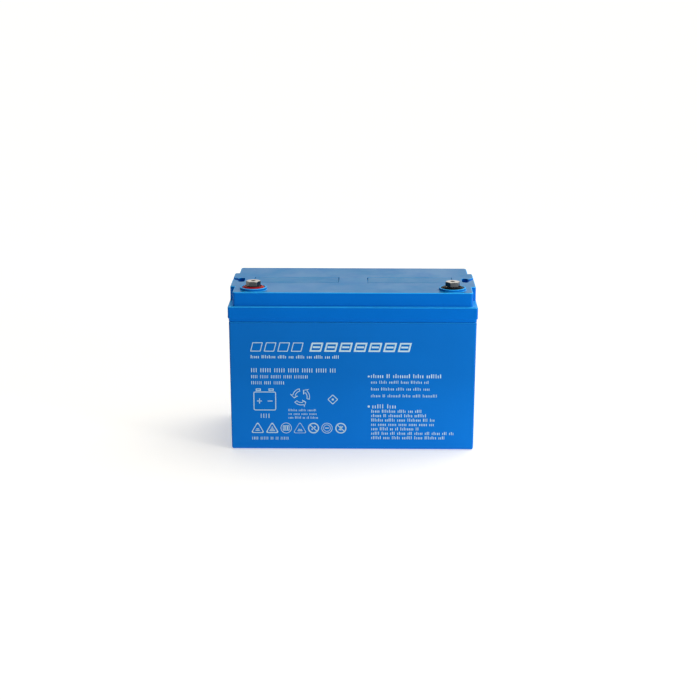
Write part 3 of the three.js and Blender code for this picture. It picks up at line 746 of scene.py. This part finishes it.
def cut_vent_recesses(lid):
    for sign in (-1, 1):
        profile = [(RECESS_FLOOR, 0)] + cut_lip(LID_TOP, 0.25 * MM)
        centre = (sign * COVER_X, 0)
        cut(lid, slab("recess", COVER.x + COVER_GAP, COVER.y + COVER_GAP, 1.6 * MM, profile, centre, 5))
        ends = sorted((sign * abs(VALVES[3]), sign * (COVER_X + COVER.x + COVER_GAP)))
        low = (ends[0], -1 * MM, RECESS_FLOOR - 0.8 * MM)
        cut(lid, box("groove", low, (ends[1], 1 * MM, RECESS_FLOOR + OVERSHOOT)))
    for x in VALVES:
        lip = [(WELL_RADIUS + grow, z) for z, grow in cut_lip(RECESS_FLOOR, SMALL_ROUND)]
        well = [(0, WELL_FLOOR), (WELL_RADIUS, WELL_FLOOR)] + lip + [(0, lip[-1][1])]
        cut(lid, turned("well", well, (x, 0), SMALL_ROUND_STEPS))
        chimney = [(CHIMNEY_RADIUS + grow, z) for z, grow in rounded_top(CHIMNEY_TOP, 0.4 * MM)]
        start = [(0, WELL_FLOOR - OVERSHOOT), (CHIMNEY_RADIUS, WELL_FLOOR - OVERSHOOT)]
        join(lid, turned("chimney", start + chimney + [(0, CHIMNEY_TOP)], (x, 0), SMALL_ROUND_STEPS))
        low, high = WELL_FLOOR - WELL_THICKNESS - OVERSHOOT, CHIMNEY_TOP + OVERSHOOT
        cut(lid, cylinder("bore", CHIMNEY_BORE, low, high, (x, 0), 32))


def make_lid():
    lid = lid_outside()
    hollow_out(lid)
    add_bosses(lid)
    add_collars(lid)
    cut_terminal_holes(lid)
    cut_handle_pockets(lid)
    cut_vent_recesses(lid)
    finish_surface(lid)
    place(lid, "lid_shell", "case", "lid_blue", LID_BLUE, "lid")
    # The level top faces take the material with dust and painted reflection haze.
    lid.data.materials.append(LID_TOP_BLUE)
    for face in lid.data.polygons:
        if face.normal.z > LEVEL_NORMAL and abs(face.center.z - LID_TOP) < 0.05 * MM:
            face.material_index = 1


# ---------- vent covers and valve caps


def make_vent_covers():
    for side in ("left", "right"):
        node = f"vent_cover_{side}"
        low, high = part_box(node)
        half = half_size(node)
        profile = rounded_bottom(low[2], 0.25 * MM) + rounded_top(high[2], 0.35 * MM)
        cover = slab(node, half.x, half.y, 1.5 * MM, profile, middle(node)[:2])
        wall, depth = 2.5 * MM, 1 * MM
        room = [(low[2] - OVERSHOOT, 0), (low[2] + depth, 0)]
        cut(cover, slab("room", half.x - wall, half.y - wall, 1 * MM, room, middle(node)[:2]))
        foot, top = low[2] + 0.2 * MM, low[2] + 1.5 * MM
        for x in VALVES:
            if low[0] < x < high[0]:
                ring = [(4 * MM, foot), (5 * MM, foot), (5 * MM, top), (4 * MM, top)]
                join(cover, turned("stop", ring, (x, 0), SMALL_ROUND_STEPS))
        finish_surface(cover)
        place(cover, f"vent_cover_panel_{side}", f"cover_{side}", "cover_blue", COVER_BLUE, node)


def make_valve_caps():
    for number in range(1, CELLS + 1):
        node = f"valve_cap_{number}"
        low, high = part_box(node)
        base = half_size(node).x
        radius, inner = base - 0.5 * MM, base - 2.2 * MM
        ceiling = high[2] - 1.8 * MM
        top = [(radius + grow, z) for z, grow in rounded_top(high[2], 0.9 * MM)]
        profile = [
            (inner, low[2] + 0.3 * MM), (inner + 0.3 * MM, low[2]), (base - 0.3 * MM, low[2]),
            (base, low[2] + 0.3 * MM), (base, low[2] + 1.4 * MM), (base - 0.3 * MM, low[2] + 1.7 * MM),
            (radius, low[2] + 1.9 * MM),
            *top,
            (2.2 * MM, high[2]), (1.8 * MM, high[2] - 0.5 * MM), (0, high[2] - 0.5 * MM),
        ]
        profile += [(0, ceiling), (inner, ceiling), profile[0]]
        outer = turned(node, profile, middle(node)[:2], 64)
        finish_surface(outer, 50)
        place(outer, f"rubber_valve_cap_{number}", f"valve_{number}", "valve_rubber", RUBBER, node)


# ---------- terminals


def make_seal_ring(polarity):
    """Resin poured round the terminal: it climbs to a lip beside the bolt and dips before the collar."""
    node = f"seal_ring_{polarity}"
    low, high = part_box(node)
    outer = half_size(node).x
    inner = SEAL_INNER
    rim = high[2] - SEAL_CLIMB
    surface = []
    for step in range(SEAL_STEPS + 1):
        t = step / SEAL_STEPS
        radius = outer - 0.2 * MM + (inner + 0.9 * MM - outer + 0.2 * MM) * t
        surface.append((radius, rim + (3 * t * t - 2 * t * t * t) * SEAL_CLIMB))
    lip = [(inner + 0.45 * MM, high[2]), (inner + 0.1 * MM, high[2] - 0.12 * MM), (inner, high[2] - 0.5 * MM)]
    profile = [(inner, low[2]), (outer, low[2]), (outer, rim - 0.3 * MM)] + surface + lip
    ring = turned(node, profile, middle(node)[:2])
    finish_surface(ring, 60)
    slot = "seal_red" if polarity == "positive" else "seal_black"
    place(ring, f"resin_ring_{polarity}", "case", slot, SEAL[polarity], node)


def make_insert(polarity):
    node = f"terminal_insert_{polarity}"
    low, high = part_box(node)
    head, stem, bore, chamfer = half_size(node).x, 7 * MM, 5.3 * MM, 0.5 * MM
    head_z, bore_z = 205.5 * MM, 194 * MM
    profile = [
        (0, low[2]), (stem - chamfer, low[2]), (stem, low[2] + chamfer), (stem, head_z),
        (head - chamfer, head_z), (head, head_z + chamfer), (head, high[2] - chamfer),
        (head - chamfer, high[2]), (bore + chamfer, high[2]), (bore, high[2] - chamfer), (bore, bore_z),
        (0, bore_z - 1.5 * MM),
    ]
    insert = turned(node, profile, middle(node)[:2])
    finish_surface(insert, 40)
    place(insert, f"threaded_insert_{polarity}", "case", "terminal_metal", TINNED, node)


def make_flat_washer(polarity):
    node = f"flat_washer_{polarity}"
    low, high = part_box(node)
    outer, bore, edge = half_size(node).x, WASHER_BORE, 0.3 * MM
    profile = [
        (bore, low[2] + edge), (bore + edge, low[2]), (outer - edge / 2, low[2]),
        (outer, low[2] + edge / 2), (outer, high[2] - 2 * edge), (outer - edge / 2, high[2] - edge / 2),
        (outer - 2 * edge, high[2]), (bore + edge, high[2]), (bore, high[2] - edge),
    ]
    washer = turned(node, profile, middle(node)[:2])
    finish_surface(washer, 50)
    place(washer, f"plain_washer_{polarity}", f"washers_{polarity}", "bright_steel", STEEL, node)


def make_spring_washer(polarity):
    """A split washer: a square section swept nearly all the way round, with its ends slightly apart."""
    node = f"spring_washer_{polarity}"
    low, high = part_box(node)
    outer, bore, edge, rise = half_size(node).x, WASHER_BORE, 0.25 * MM, 0.35 * MM
    bottom, top = low[2], high[2] - rise
    section = [
        (bore + edge, bottom), (outer - edge, bottom), (outer, bottom + edge), (outer, top - edge),
        (outer - edge, top), (bore + edge, top), (bore, top - edge), (bore, bottom + edge),
    ]
    steps, gap = 90, math.radians(8)
    x, y = middle(node)[:2]
    rings = []
    for step in range(steps + 1):
        t = step / steps
        angle = gap / 2 + t * (2 * math.pi - gap)
        rings.append([(x + r * math.cos(angle), y + r * math.sin(angle), z + t * rise) for r, z in section])
    washer = skin(node, rings)
    finish_surface(washer, 50)
    place(washer, f"split_washer_{polarity}", f"washers_{polarity}", "bright_steel", STEEL, node)


def threaded_shank(name, low_z, high_z, radius, pitch, depth, centre):
    """A right-hand screw thread as one closed mesh, fading out at its tip and under the head."""
    around = 48
    rows = int((high_z - low_z) / pitch * 8)
    vertices, faces = [(centre[0], centre[1], low_z)], []
    for row in range(rows + 1):
        z = low_z + (high_z - low_z) * row / rows
        for i in range(around):
            turn = i / around
            phase = ((z - low_z) / pitch - turn) % 1
            ridge = 1 - abs(2 * phase - 1)
            fade = min(1, (z - low_z) / (1.2 * pitch))
            fade = min(fade, max(0, (high_z - z) / (1.5 * pitch)))
            taper = max(0, 1 - (z - low_z) / pitch) * 0.9 * MM
            r = radius - depth + depth * min(1, ridge * 1.25) * fade - taper
            angle = 2 * math.pi * turn
            vertices.append((centre[0] + r * math.cos(angle), centre[1] + r * math.sin(angle), z))
    vertices.append((centre[0], centre[1], high_z))
    for i in range(around):
        j = (i + 1) % around
        faces.append((0, 1 + j, 1 + i))
        for row in range(rows):
            a, b = 1 + row * around + i, 1 + row * around + j
            faces.append((a, b, b + around, a + around))
        last = 1 + rows * around
        faces.append((last + i, last + j, len(vertices) - 1))
    return mesh_object(name, vertices, faces)


def hex_head(name, low_z, high_z, corner_radius, turn, centre):
    """A hexagon with softened corners, a chamfered crown, a washer face and a centre dimple."""
    across = corner_radius * math.sqrt(3) / 2
    soft = 0.35 * MM
    outline = []
    for corner in range(6):
        angle = turn + corner * math.pi / 3
        for side in (-1, 1):
            spread = side * soft / corner_radius * 1.2
            outline.append((
                (corner_radius - soft * 0.35) * math.cos(angle + spread),
                (corner_radius - soft * 0.35) * math.sin(angle + spread),
            ))
    rings = [[(centre[0] + x, centre[1] + y, z) for x, y in outline] for z in (low_z + 0.4 * MM, high_z)]
    prism = skin(name, rings)
    crown = turned("crown", [
        (0, low_z), (across * 1.25, low_z), (across * 1.25, high_z - 1.1 * MM),
        (across * 1.05, high_z - 0.2 * MM), (across * 1.03, high_z - 0.07 * MM),
        (across * 0.995, high_z), (0, high_z),
    ], centre)
    combine(prism, "INTERSECT", crown)
    join(prism, cylinder("face", across * 0.95, low_z, low_z + 0.6 * MM, centre, ROUND_STEPS))
    dimple = [(0, high_z - DIMPLE_DEPTH), (1.8 * MM, high_z - 1.5 * MM), (2.6 * MM, high_z - 1.0 * MM)]
    dimple += [(2.95 * MM, high_z - 0.12 * MM), (3.2 * MM, high_z + 0.05 * MM), (0, high_z + OVERSHOOT)]
    cut(prism, turned("dimple", dimple, centre, SMALL_ROUND_STEPS))
    return prism


def make_bolt(polarity):
    node = f"terminal_bolt_{polarity}"
    low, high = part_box(node)
    centre = TERMINAL[polarity][:2]
    turn = 0 if polarity == "positive" else math.radians(12)
    head_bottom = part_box(f"spring_washer_{polarity}")[1][2] + CLEARANCE
    head = hex_head(node, head_bottom, high[2], HEAD_FLATS / math.sqrt(3), turn, centre)
    thread = (SHANK_RADIUS, THREAD_PITCH, THREAD_DEPTH)
    join(head, threaded_shank("shank", low[2], head_bottom + OVERSHOOT, *thread, centre))
    finish_surface(head, 40)
    place(head, f"hex_bolt_{polarity}", f"bolt_{polarity}", "bright_steel", STEEL, node)
    # Painted shade: the faces inside the head's dimple take the dark steel.
    head.data.materials.append(DIMPLE_SHADE_STEEL)
    for face in head.data.polygons:
        offset = face.center - Vector((*centre, high[2]))
        inside = math.hypot(offset.x, offset.y) < DIMPLE_RADIUS
        if inside and -DIMPLE_DEPTH - 0.1 * MM < offset.z < -0.02 * MM:
            face.material_index = 1


# ---------- printed marks on the front wall

INK_HEIGHT = 0.10 * MM
INK_DEPTH = 0.05 * MM
SLASH_ANGLE = 0.75


def wall_y(z):
    """Where the container's drafted front wall is at height z."""
    share = (CASE_RIM - z) / (CASE_RIM - BOTTOM_ROUND)
    return -(CASE.y - CASE_DRAFT * share)


def ink_patch(outer, inner=None):
    """A thin closed patch of ink on the front wall, from (x, z) points, with a hole where inner is given."""
    loops = [outer] if inner is None else [outer, inner]
    count = len(outer)
    vertices = []
    for proud in (-INK_DEPTH, INK_HEIGHT):
        for loop in loops:
            vertices += [(x, wall_y(z) - proud, z) for x, z in loop]
    faces = []
    back, front = 0, count * len(loops)
    for i in range(count):
        j = (i + 1) % count
        faces.append((back + i, back + j, front + j, front + i))
        if inner is not None:
            faces.append((front + i, front + j, front + count + j, front + count + i))
            faces.append((back + j, back + i, back + count + i, back + count + j))
            faces.append((back + count + j, back + count + i, front + count + i, front + count + j))
    if inner is None:
        faces.append(tuple(range(front, front + count)))
        faces.append(tuple(reversed(range(back, back + count))))
    return mesh_object("patch", vertices, faces)


def on_wall(outline, x, z):
    """An outline in millimetres, moved to (x, z) and turned into metres."""
    return [((x + a) * MM, (z + b) * MM) for a, b in outline]


def bar(x0, x1, z, height, soft=0.5, steps=3):
    """A rounded bar in millimetres, centred on height z."""
    half_x, half_z = (x1 - x0) / 2, height / 2
    outline = rounded_outline(half_x, half_z, min(half_x, half_z) * soft, steps)
    return ink_patch(on_wall(outline, (x0 + x1) / 2, z))


def circle(x, z, radius, steps=40):
    return [((x + radius * math.cos(2 * math.pi * i / steps)) * MM,
             (z + radius * math.sin(2 * math.pi * i / steps)) * MM) for i in range(steps)]


def polygon(x, z, radius, sides, turn, soft=0.18, steps=4):
    """A regular polygon with rounded corners."""
    points = []
    inset = radius * (1 - soft)
    for corner in range(sides):
        angle = turn + corner * 2 * math.pi / sides
        centre = (x + inset * math.cos(angle), z + inset * math.sin(angle))
        for step in range(steps + 1):
            sweep = angle + (step / steps - 0.5) * 2 * math.pi / sides
            points.append(((centre[0] + radius * soft * math.cos(sweep)) * MM,
                           (centre[1] + radius * soft * math.sin(sweep)) * MM))
    return points


def outlined(shape, x, z, size, stroke, *args):
    return ink_patch(shape(x, z, size, *args), shape(x, z, size - stroke, *args))


def small_print(x0, x1, z0, z1, seed, weight=0.5, tall_share=3):
    """A line of small print with nothing to read: word-length runs of narrow upright blocks."""
    marks, step = [], seed
    low, tall = z0 + (z1 - z0) * 0.16, z1 - (z1 - z0) * 0.06
    short = low + (tall - low) * 0.72
    places = int((x1 - x0) / ((z1 - z0) * 0.42))
    pitch = (x1 - x0) / places
    left_in_word = 3 + seed % 5
    for place_in_line in range(places):
        step = (step * 7 + 3) % 11
        if left_in_word == 0 and place_in_line < places - 2:
            left_in_word = 2 + (step + seed) % 7
            continue
        left_in_word = max(0, left_in_word - 1)
        x = x0 + pitch * place_in_line
        width = pitch * weight * (0.8 + 0.04 * step)
        top = tall if step % tall_share == 0 else short
        marks.append(bar(x, x + width, (low + top) / 2, top - low, steps=1))
    return marks


def leaning_cell(x0, width, z0, z1, lean, stroke):
    """The outline of a leaning cell."""
    def corners(inset):
        half_x, half_z = width / 2 - inset, (z1 - z0) / 2 - inset
        points = rounded_outline(half_x, half_z, 0.4, 2)
        middle_x, middle_z = x0 + (width + lean) / 2, (z0 + z1) / 2
        return [((middle_x + x + lean * z / (z1 - z0)) * MM, (middle_z + z) * MM) for x, z in points]
    return ink_patch(corners(0), corners(stroke))


def headline():
    """A charge gauge of leaning cells: four in thin line, then seven bold ones, each with a bar inside."""
    marks = []
    low, high, lean = 135.0, 147.4, 3.2
    for cell in range(4):
        marks.append(leaning_cell(-135 + 17.9 * cell, 13.6, low, high, lean, 1.0))
    for cell in range(7):
        x = -57 + 19.4 * cell
        marks.append(leaning_cell(x, 15.4, low, high, lean, 2.1))
        marks.append(bar(x + 4.6, x + 14, (low + high) / 2, 2.4, 0.2))
    return marks


def battery_sign(x, z):
    """An outlined battery with a plus and a minus, over a short bar."""
    def case_line(inset):
        return on_wall(rounded_outline(15 - inset, 13 - inset, 2.4 - inset, 4), x, z - 2)
    marks = [ink_patch(case_line(0), case_line(1.1))]
    for sign in (-1, 1):
        marks.append(outlined(oblong, x + sign * 8.5, z + 13.6, 3.4, 1.0, 0.6))
        marks.append(bar(x + sign * 7 - 3.2, x + sign * 7 + 3.2, z - 2, 1.1, 0.3))
    marks.append(bar(x - 7.55, x - 6.45, z + 0.2, 2.6, 0.2))
    marks.append(bar(x - 7.55, x - 6.45, z - 4.2, 2.6, 0.2))
    return marks


def oblong(x, z, size, flatness):
    """A rounded rectangle, lower than it is wide by 6 mm times its flatness."""
    return on_wall(rounded_outline(size, size - flatness * 3, 0.5, 3), x, z)


def arc_arrow(x, z, radius, stroke, start, sweep, line, steps=10):
    """The outline of a curved arrow."""
    def shape(inset):
        inner, outer = radius - stroke / 2 + inset, radius + stroke / 2 - inset
        first, last = start + inset / radius, start + sweep + 0.4 * inset / radius
        along = [first + (last - first) * i / steps for i in range(steps + 1)]
        wing = stroke * 0.8 - 1.4 * inset
        points = [(outer, a) for a in along]
        tip = start + sweep * 1.42 - 1.5 * inset / radius
        points += [(outer + wing, last), (radius, tip), (inner - wing, last)]
        points += [(inner, a) for a in reversed(along)]
        return [((x + r * math.cos(a)) * MM, (z + r * math.sin(a)) * MM) for r, a in points]
    return ink_patch(shape(0), shape(line))


def loop_sign(x, z):
    starts = [math.radians(100 + 120 * i) for i in range(3)]
    return [arc_arrow(x, z, 9.6, 4.2, start, math.radians(66), 0.85) for start in starts]


def small_signs():
    """A row of plain triangles and circles, each with a simple figure inside."""
    marks = []
    z, up = 29.6, math.pi / 2
    signs = (
        ("triangle", -126.4, 1.5), ("triangle", -107, 1.7), ("circle", -88.4, 0.8), ("triangle", -70, 0.8),
        ("circle", -51.9, 1.5), ("circle", -34, 0.8), ("circle", -15.5, 1.5),
    )
    for index, (kind, x, stroke) in enumerate(signs):
        if kind == "triangle":
            marks.append(outlined(polygon, x, z - 1.8, 9.0, stroke * 1.2, 3, up))
        else:
            marks.append(outlined(circle, x, z, 7.4, stroke))
        marks += figure(index, x, z)
    return marks


def figure(index, x, z):
    """What is inside one sign: bars given as (left, right, height above the middle, thickness, softness)."""
    bars = (
        ((-3.0, 3.0, -3.4, 1.1, 0.5), (-1.8, 1.8, -1.4, 1.1, 0.5)),
        ((-3.8, 3.8, -3.9, 1.1, 0.5), (-2.8, 2.8, -2.2, 0.9, 0.5), (-1.8, 1.8, -0.5, 0.9, 0.5),
         (-0.8, 0.8, 1.2, 1.2, 0.5)),
        ((-2.4, -0.8, 0, 4.6, 0.2), (0.8, 2.4, 0, 4.6, 0.2)),
        ((-3.4, 3.6, -3.9, 0.9, 0.5), (-2.0, -0.4, -2.0, 1.6, 0.5), (0.6, 2.4, -2.2, 1.3, 0.5)),
        ((-2.8, -1.0, -1.6, 2.2, 0.5), (0.9, 2.7, 1.6, 2.2, 0.5)), ((-2.6, 2.6, 0.1, 1.3, 0.5),),
        ((-0.6, 0.6, 0, 6.6, 0.5),),
    )[index]
    marks = []
    if index == 2:
        marks.append(outlined(oblong, x, z, 4.4, 0.9, 0.3))
    if index == 5:
        marks.append(outlined(circle, x, z, 4.9, 0.7))
    if index in (4, 6):
        marks.append(turned_bar(x, z, 12.6, 1.2, -SLASH_ANGLE))
    if index == 6:
        marks.append(turned_bar(x, z, 7.6, 1.4, SLASH_ANGLE))
    return marks + [bar(x + left, x + right, z + up, height, soft) for left, right, up, height, soft in bars]


def turned_bar(x, z, length, width, angle):
    """A bar turned in the wall's plane."""
    points = rounded_outline(length / 2, width / 2, width * 0.25, 1)
    c, s = math.cos(angle), math.sin(angle)
    return ink_patch(on_wall([(a * c - b * s, a * s + b * c) for a, b in points], x, z))


def print_front():
    """Every mark on the front wall, joined into one piece of ink."""
    marks = headline()
    marks += small_print(-134.4, -17, 124.8, 130.4, 2, 0.46)
    marks += small_print(-134, -20.6, 105.4, 112.6, 5, 0.34, 1)
    marks += small_print(-134, -58, 97.4, 103.0, 1, 0.34, 1)
    marks += small_print(-134, -89.4, 89.0, 94.7, 8, 0.34, 1)
    marks += battery_sign(-116.5, 69.0) + small_print(-122, -108.4, 42.2, 50.0, 3, 0.3, 1)
    marks += loop_sign(-68.2, 73.0)
    for row, end in enumerate((-47.5, -47.0, -45.2)):
        marks += small_print(-85, end, 52.4 - 5.2 * row, 56.4 - 5.2 * row, row + 4, 0.4)
    marks.append(outlined(polygon, -26.2, 69.5, 6.6, 1.3, 4, math.pi / 2))
    marks.append(ink_patch(circle(-26.2, 69.5, 1.5, 20)))
    marks += small_signs()
    marks += small_print(-133.8, -84.4, 12.4, 17.6, 6, 0.4, 1)
    marks += [ink_patch(circle(21.4, 101.4, 1.3, 20)), ink_patch(circle(21.6, 60.0, 1.5, 20))]
    marks += small_print(24.4, 118.6, 98.2, 105.2, 3, 0.42)
    for row, end in enumerate((101.6, 103.1, 113.2)):
        marks += small_print(24.6, end, 90.8 - 9.4 * row, 96.0 - 9.4 * row, row + 1, 0.36)
    marks += small_print(26.4, 59.4, 56.2, 63.6, 7, 0.36)
    for row, end in enumerate((92.8, 98.9, 110.1, 109.4, 89.1, 136, 124.1)):
        marks += small_print(25.2, end, 50.6 - 6.15 * row, 56.0 - 6.15 * row, row + 2, 0.44)
    ink = merge("front_marks", marks)
    for polygon_face in ink.data.polygons:
        polygon_face.use_smooth = False
    place(ink, "front_print", "case", "print_ink", INK)


# ---------- CAD nodes that keep their shape


def dress(node, material, bevel=0.0):
    """Gives a kept CAD node its material and, where it is cast or moulded, softened edges."""
    piece = frame["nodes"][node]
    for material_slot in piece.material_slots:
        material_slot.material = material
    if bevel:
        soften = piece.modifiers.new("soft_edges", "BEVEL")
        soften.width = bevel
        soften.segments = 2
        soften.limit_method = "ANGLE"
        soften.angle_limit = math.radians(40)


def dress_inner_pieces():
    for polarity in POLARITIES:
        dress(f"o_ring_{polarity}", RUBBER)
        dress(f"lead_post_{polarity}", LEAD, 0.3 * MM)
    for cell in range(1, CELLS + 1):
        dress(f"positive_plates_{cell}", POSITIVE_PASTE)
        dress(f"negative_plates_{cell}", NEGATIVE_PASTE)
        dress(f"separator_mat_{cell}", MAT)
    for cell in range(1, CELLS):
        dress(f"cell_weld_{cell}_{cell + 1}", LEAD, 0.3 * MM)


# ---------- camera, floor and light

VIEW_TARGET = Vector((-4.3 * MM, 0, 116.0 * MM))
VIEW_DISTANCE = 2.207
VIEW_DOWN = math.radians(14.29)
VIEW_TURN = math.radians(-0.585)
VIEW_ROLL = math.radians(0.1)
LENS = 82.8
SENSOR_WIDTH = 36
FAR_LIMIT = 100

FLOOR_HALF = 30
PAPER_GLOW = 0.36
OVERHEAD = 1.2
FRONT_WALL = 0.08
BACK_WALL = 1.3
LEFT_SHARE = 0.08
KEY_PLACE = Vector((1.05, -0.8, 0.24))
KEY_AIM = Vector((0, 0, 0.12))
KEY_SIZE = 0.4
KEY_POWER = 10.5


def make_camera():
    data = bpy.data.cameras.new("camera")
    data.lens = LENS
    data.sensor_width = SENSOR_WIDTH
    data.clip_end = FAR_LIMIT
    camera = bpy.data.objects.new("camera", data)
    bpy.context.scene.collection.objects.link(camera)
    level = math.cos(VIEW_DOWN)
    ahead = Vector((math.sin(VIEW_TURN) * level, math.cos(VIEW_TURN) * level, -math.sin(VIEW_DOWN)))
    aimed = ahead.to_track_quat("-Z", "Y").to_matrix()
    camera.rotation_euler = (aimed @ Matrix.Rotation(VIEW_ROLL, 3, "Z")).to_euler()
    camera.location = VIEW_TARGET - ahead * VIEW_DISTANCE
    bpy.context.scene.camera = camera


def make_floor():
    corners = [(x * FLOOR_HALF, y * FLOOR_HALF, 0) for x, y in ((-1, -1), (1, -1), (1, 1), (-1, 1))]
    floor = mesh_object("floor", corners, [(0, 1, 2, 3)])
    paper = Surface("white_paper", (0.85, 0.84, 0.83), 0.9, Specular_IOR_Level=0.0,
                    Emission_Strength=PAPER_GLOW, Emission_Color=(1, 0.99, 0.95, 1))
    floor.data.materials.append(paper.material)


def make_key_light():
    data = bpy.data.lights.new("key", "AREA")
    data.shape = "RECTANGLE"
    data.size = data.size_y = KEY_SIZE
    data.energy = KEY_POWER
    light = bpy.data.objects.new("key", data)
    light.location = KEY_PLACE
    light.rotation_euler = (KEY_AIM - KEY_PLACE).to_track_quat("-Z", "Y").to_euler()
    bpy.context.scene.collection.objects.link(light)


def make_world():
    """A white studio, bright overhead and behind the object, and dimmer in front and on the left."""
    world = bpy.data.worlds.new("studio")
    bpy.context.scene.world = world
    world.use_nodes = True
    sky = Nodes(world.node_tree)
    background = sky.tree.nodes["Background"]
    background.inputs["Color"].default_value = (1, 0.985, 0.94, 1)
    direction = sky.split(sky.node("ShaderNodeTexCoord").outputs["Generated"])
    overhead = sky.remap(direction["Z"], 0.35, 1, 0, OVERHEAD, "SMOOTHSTEP")
    front_to_back = sky.remap(direction["Y"], -0.5, 0.5, FRONT_WALL, BACK_WALL, "SMOOTHSTEP")
    left_to_right = sky.remap(direction["X"], -0.9, 0.6, LEFT_SHARE, 1, "SMOOTHSTEP")
    walls = sky.math("MULTIPLY", sky.math("ADD", overhead, front_to_back), left_to_right)
    sky.link(walls, background.inputs["Strength"])


def make_studio():
    make_floor()
    make_world()
    make_key_light()
    bpy.context.scene.view_settings.view_transform = "Standard"


# ---------- build

make_camera()
make_container()
make_lid()
make_vent_covers()
make_valve_caps()
for terminal_polarity in POLARITIES:
    make_seal_ring(terminal_polarity)
    make_insert(terminal_polarity)
    make_flat_washer(terminal_polarity)
    make_spring_washer(terminal_polarity)
    make_bolt(terminal_polarity)
print_front()
dress_inner_pieces()
make_studio()
